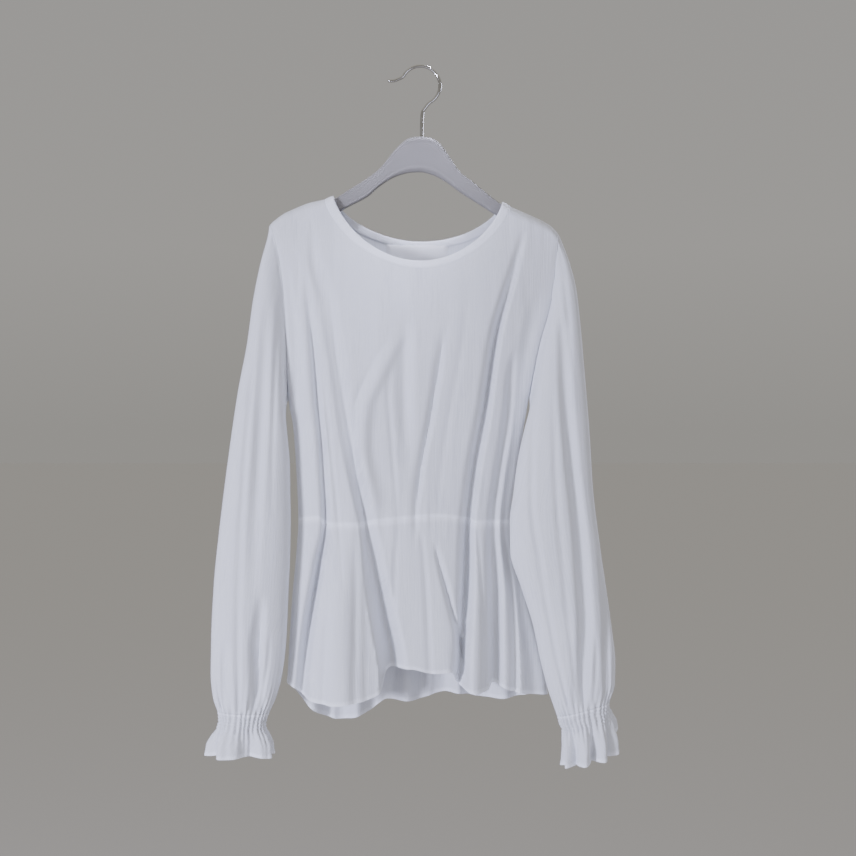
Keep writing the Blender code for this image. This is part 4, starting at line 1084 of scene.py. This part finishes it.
def places(material, scale, source="UV"):
    """Texture coordinates in metres times scale, of the cloth's own grid or of the object."""
    where = add_node(material, "ShaderNodeTexCoord")
    at = add_node(material, "ShaderNodeMapping", [("Vector", where.outputs[source]), ("Scale", scale)])
    return ("Vector", at.outputs[0])


def noise_of(material, at, **inputs):
    return add_node(material, "ShaderNodeTexNoise", [at, *inputs.items()]).outputs["Fac"]


def sum_of(material, first, second):
    return add_node(material, "ShaderNodeMath", [(0, first), (1, second)], operation="ADD").outputs[0]


def bump_of(material, height, **inputs):
    return add_node(material, "ShaderNodeBump", [("Height", height), *inputs.items()]).outputs[0]


def vary_roughness(material, source, low, high):
    spread = [("Value", source), ("From Min", 0.3), ("From Max", 0.7), ("To Min", low), ("To Max", high)]
    link(material, add_node(material, "ShaderNodeMapRange", spread).outputs["Result"], "Roughness")


def ramp(material, source, *stops):
    """A colour ramp from pairs of position and colour."""
    node = add_node(material, "ShaderNodeValToRGB", [("Fac", source)])
    elements = node.color_ramp.elements
    for element, (position, colour) in zip(elements, (stops[0], stops[-1])):
        element.position = position
        element.color = (*colour, 1)
    for position, colour in stops[1:-1]:
        elements.new(position).color = (*colour, 1)
    return node.outputs["Color"]


def make_cloth_material():
    """Thin white voile: upright slubs, a fine plain weave, and doubled cloth a shade lighter."""
    cloth = new_material("white_voile", SINGLE_WHITE, 0.88, sheen=0.2, sheen_roughness=0.45, specular=0.25)
    slubs = noise_of(cloth, places(cloth, (520, 24, 1)), Scale=1.0, Detail=3.0, Roughness=0.6)
    clouds = noise_of(cloth, places(cloth, (40, 10, 1)), Scale=1.0, Detail=2.0)
    streaks = sum_of(cloth, slubs, clouds)
    single = ramp(cloth, streaks, (0.75, DARK_SLUB), (1.0, SINGLE_WHITE), (1.25, LIGHT_SLUB))
    layers = add_node(cloth, "ShaderNodeAttribute", attribute_name="doubled")
    tone = add_node(cloth, "ShaderNodeMixRGB", [("Fac", layers.outputs["Fac"]), ("Color1", single),
                                                ("Color2", (*DOUBLE_WHITE, 1))])
    link(cloth, tone.outputs["Color"], "Base Color")

    wave = [places(cloth, (1, 1, 1)), ("Scale", THREADS_PER_METRE / 6.28), ("Distortion", 1.5),
            ("Detail", 1.0)]
    warp, weft = [add_node(cloth, "ShaderNodeTexWave", wave, bands_direction=direction).outputs["Fac"]
                  for direction in ("X", "Y")]
    weave = bump_of(cloth, sum_of(cloth, warp, weft), Strength=0.25, Distance=0.00012)
    link(cloth, bump_of(cloth, slubs, Strength=0.5, Distance=0.0009, Normal=weave), "Normal")
    return cloth


def make_thread_material():
    thread = new_material("sewing_thread", DOUBLE_WHITE, 0.7, sheen=0.1)
    twist = noise_of(thread, places(thread, (1, 1, 1), "Object"), Scale=2500.0)
    link(thread, ramp(thread, twist, (0.3, SINGLE_WHITE), (0.7, DOUBLE_WHITE)), "Base Color")
    link(thread, bump_of(thread, twist, Distance=0.0001), "Normal")
    return thread


def make_label_material():
    """Bare satin tape: fine warp threads along its length."""
    tape = new_material("satin_tape", LABEL_WHITE, 0.5, sheen=0.1)
    threads = noise_of(tape, places(tape, (60, 2600, 1)), Scale=1.0, Detail=2.0)
    link(tape, ramp(tape, threads, (0.3, LABEL_SHADE), (0.7, LABEL_WHITE)), "Base Color")
    link(tape, bump_of(tape, threads, Strength=0.4, Distance=0.0002), "Normal")
    return tape


def make_plastic_material():
    """Pale grey moulded plastic: slight clouding, a satin skin and a few fine rubs."""
    plastic = new_material("moulded_plastic", PLASTIC_GREY, 0.42)
    clouds = noise_of(plastic, places(plastic, (1, 1, 1), "Object"), Scale=28.0, Detail=4.0)
    link(plastic, ramp(plastic, clouds, (0.3, PLASTIC_DARK), (0.7, PLASTIC_GREY)), "Base Color")
    rubs = noise_of(plastic, places(plastic, (1, 6, 3), "Object"), Scale=160.0, Detail=6.0, Roughness=0.7)
    vary_roughness(plastic, rubs, 0.34, 0.52)
    link(plastic, bump_of(plastic, rubs, Strength=0.15, Distance=0.0002), "Normal")
    return plastic


def make_chrome_material():
    """Bright plated wire: fine uneven marks and a little haze."""
    chrome = new_material("plated_wire", CHROME_GREY, 0.18, metallic=1.0)
    haze = noise_of(chrome, places(chrome, (1, 1, 1), "Object"), Scale=120.0, Detail=5.0)
    vary_roughness(chrome, haze, 0.08, 0.2)
    link(chrome, bump_of(chrome, haze, Strength=0.04, Distance=0.0001), "Normal")
    return chrome


def make_floor():
    mesh = bpy.data.meshes.new("floor")
    corners = [(FLOOR_REACH * x, FLOOR_REACH * y, FLOOR_Z) for x, y in ((-1, -1), (1, -1), (1, 1), (-1, 1))]
    mesh.from_pydata(corners, [], [(0, 1, 2, 3)])
    mesh.materials.append(new_material("pale_floor", FLOOR_COLOUR, 0.9, specular=0.1))
    add_object("floor", mesh)


def make_world():
    """An even studio sky, lighter overhead than at the horizon."""
    world = bpy.data.worlds.new("studio")
    world.use_nodes = True
    bpy.context.scene.world = world
    where = add_node(world, "ShaderNodeTexCoord")
    apart = add_node(world, "ShaderNodeSeparateXYZ", [(0, where.outputs["Generated"])])
    tones = ramp(world, apart.outputs["Z"], *SKY_TONES)
    world.node_tree.links.new(tones, world.node_tree.nodes["Background"].inputs["Color"])


def make_light(name, place, aim, size, power, spread):
    light = bpy.data.lights.new(name, "AREA")
    light.shape = "DISK"
    light.size = size
    light.energy = power
    light.color = LAMP_COLOUR
    light.spread = math.radians(spread)
    lamp = add_object(name, light)
    lamp.location = place
    lamp.rotation_euler = (Vector(aim) - Vector(place)).to_track_quat("-Z", "Y").to_euler()


def make_camera():
    camera = bpy.data.cameras.new("camera")
    camera.lens = CAMERA_LENS
    camera.sensor_width = CAMERA_SENSOR
    holder = add_object("camera", camera)
    holder.location = CAMERA_PLACE
    holder.rotation_euler = (math.radians(90), 0, 0)
    bpy.context.scene.camera = holder


make_camera()
make_world()
make_floor()
for lamp in LAMPS:
    make_light(*lamp)

CLOTH = make_cloth_material()
THREAD = make_thread_material()
LABEL_TAPE = make_label_material()
PLASTIC = make_plastic_material()
CHROME = make_chrome_material()

sheets = {
    "front": make_body_panel("front_bodice_cloth", "bodice_front", -1, bodice_points(-1)),
    "back": make_body_panel("back_bodice_cloth", "bodice_back", 1, bodice_points(1)),
    "front_peplum": make_body_panel("front_peplum_cloth", "peplum_front", -1, peplum_points(-1, FRONT_HEM)),
    "back_peplum": make_body_panel("back_peplum_cloth", "peplum_back", 1, peplum_points(1, BACK_HEM)),
}
for side, sleeve, cuff, frill, edge, armhole, outward, phase in (
        ("left", LEFT_SLEEVE, LEFT_CUFF, LEFT_FRILL, left_edge, LEFT_ARMHOLE, -1, 0.4),
        ("right", RIGHT_SLEEVE, RIGHT_CUFF, RIGHT_FRILL, right_edge, RIGHT_ARMHOLE, 1, 2.0)):
    points = sleeve_points(sleeve, edge, armhole, outward, phase)
    sheets[side + "_sleeve"] = make_cloth(side + "_sleeve_cloth", "sleeve_" + side, points,
                                          tube_outward(points), True, CLOTH)
    sheets[side + "_cuff"] = make_cuff(side, cuff_points(cuff, frill, phase))
sheets["binding"] = make_binding()
sheets["label"] = make_label()
make_hanger()
make_hook()
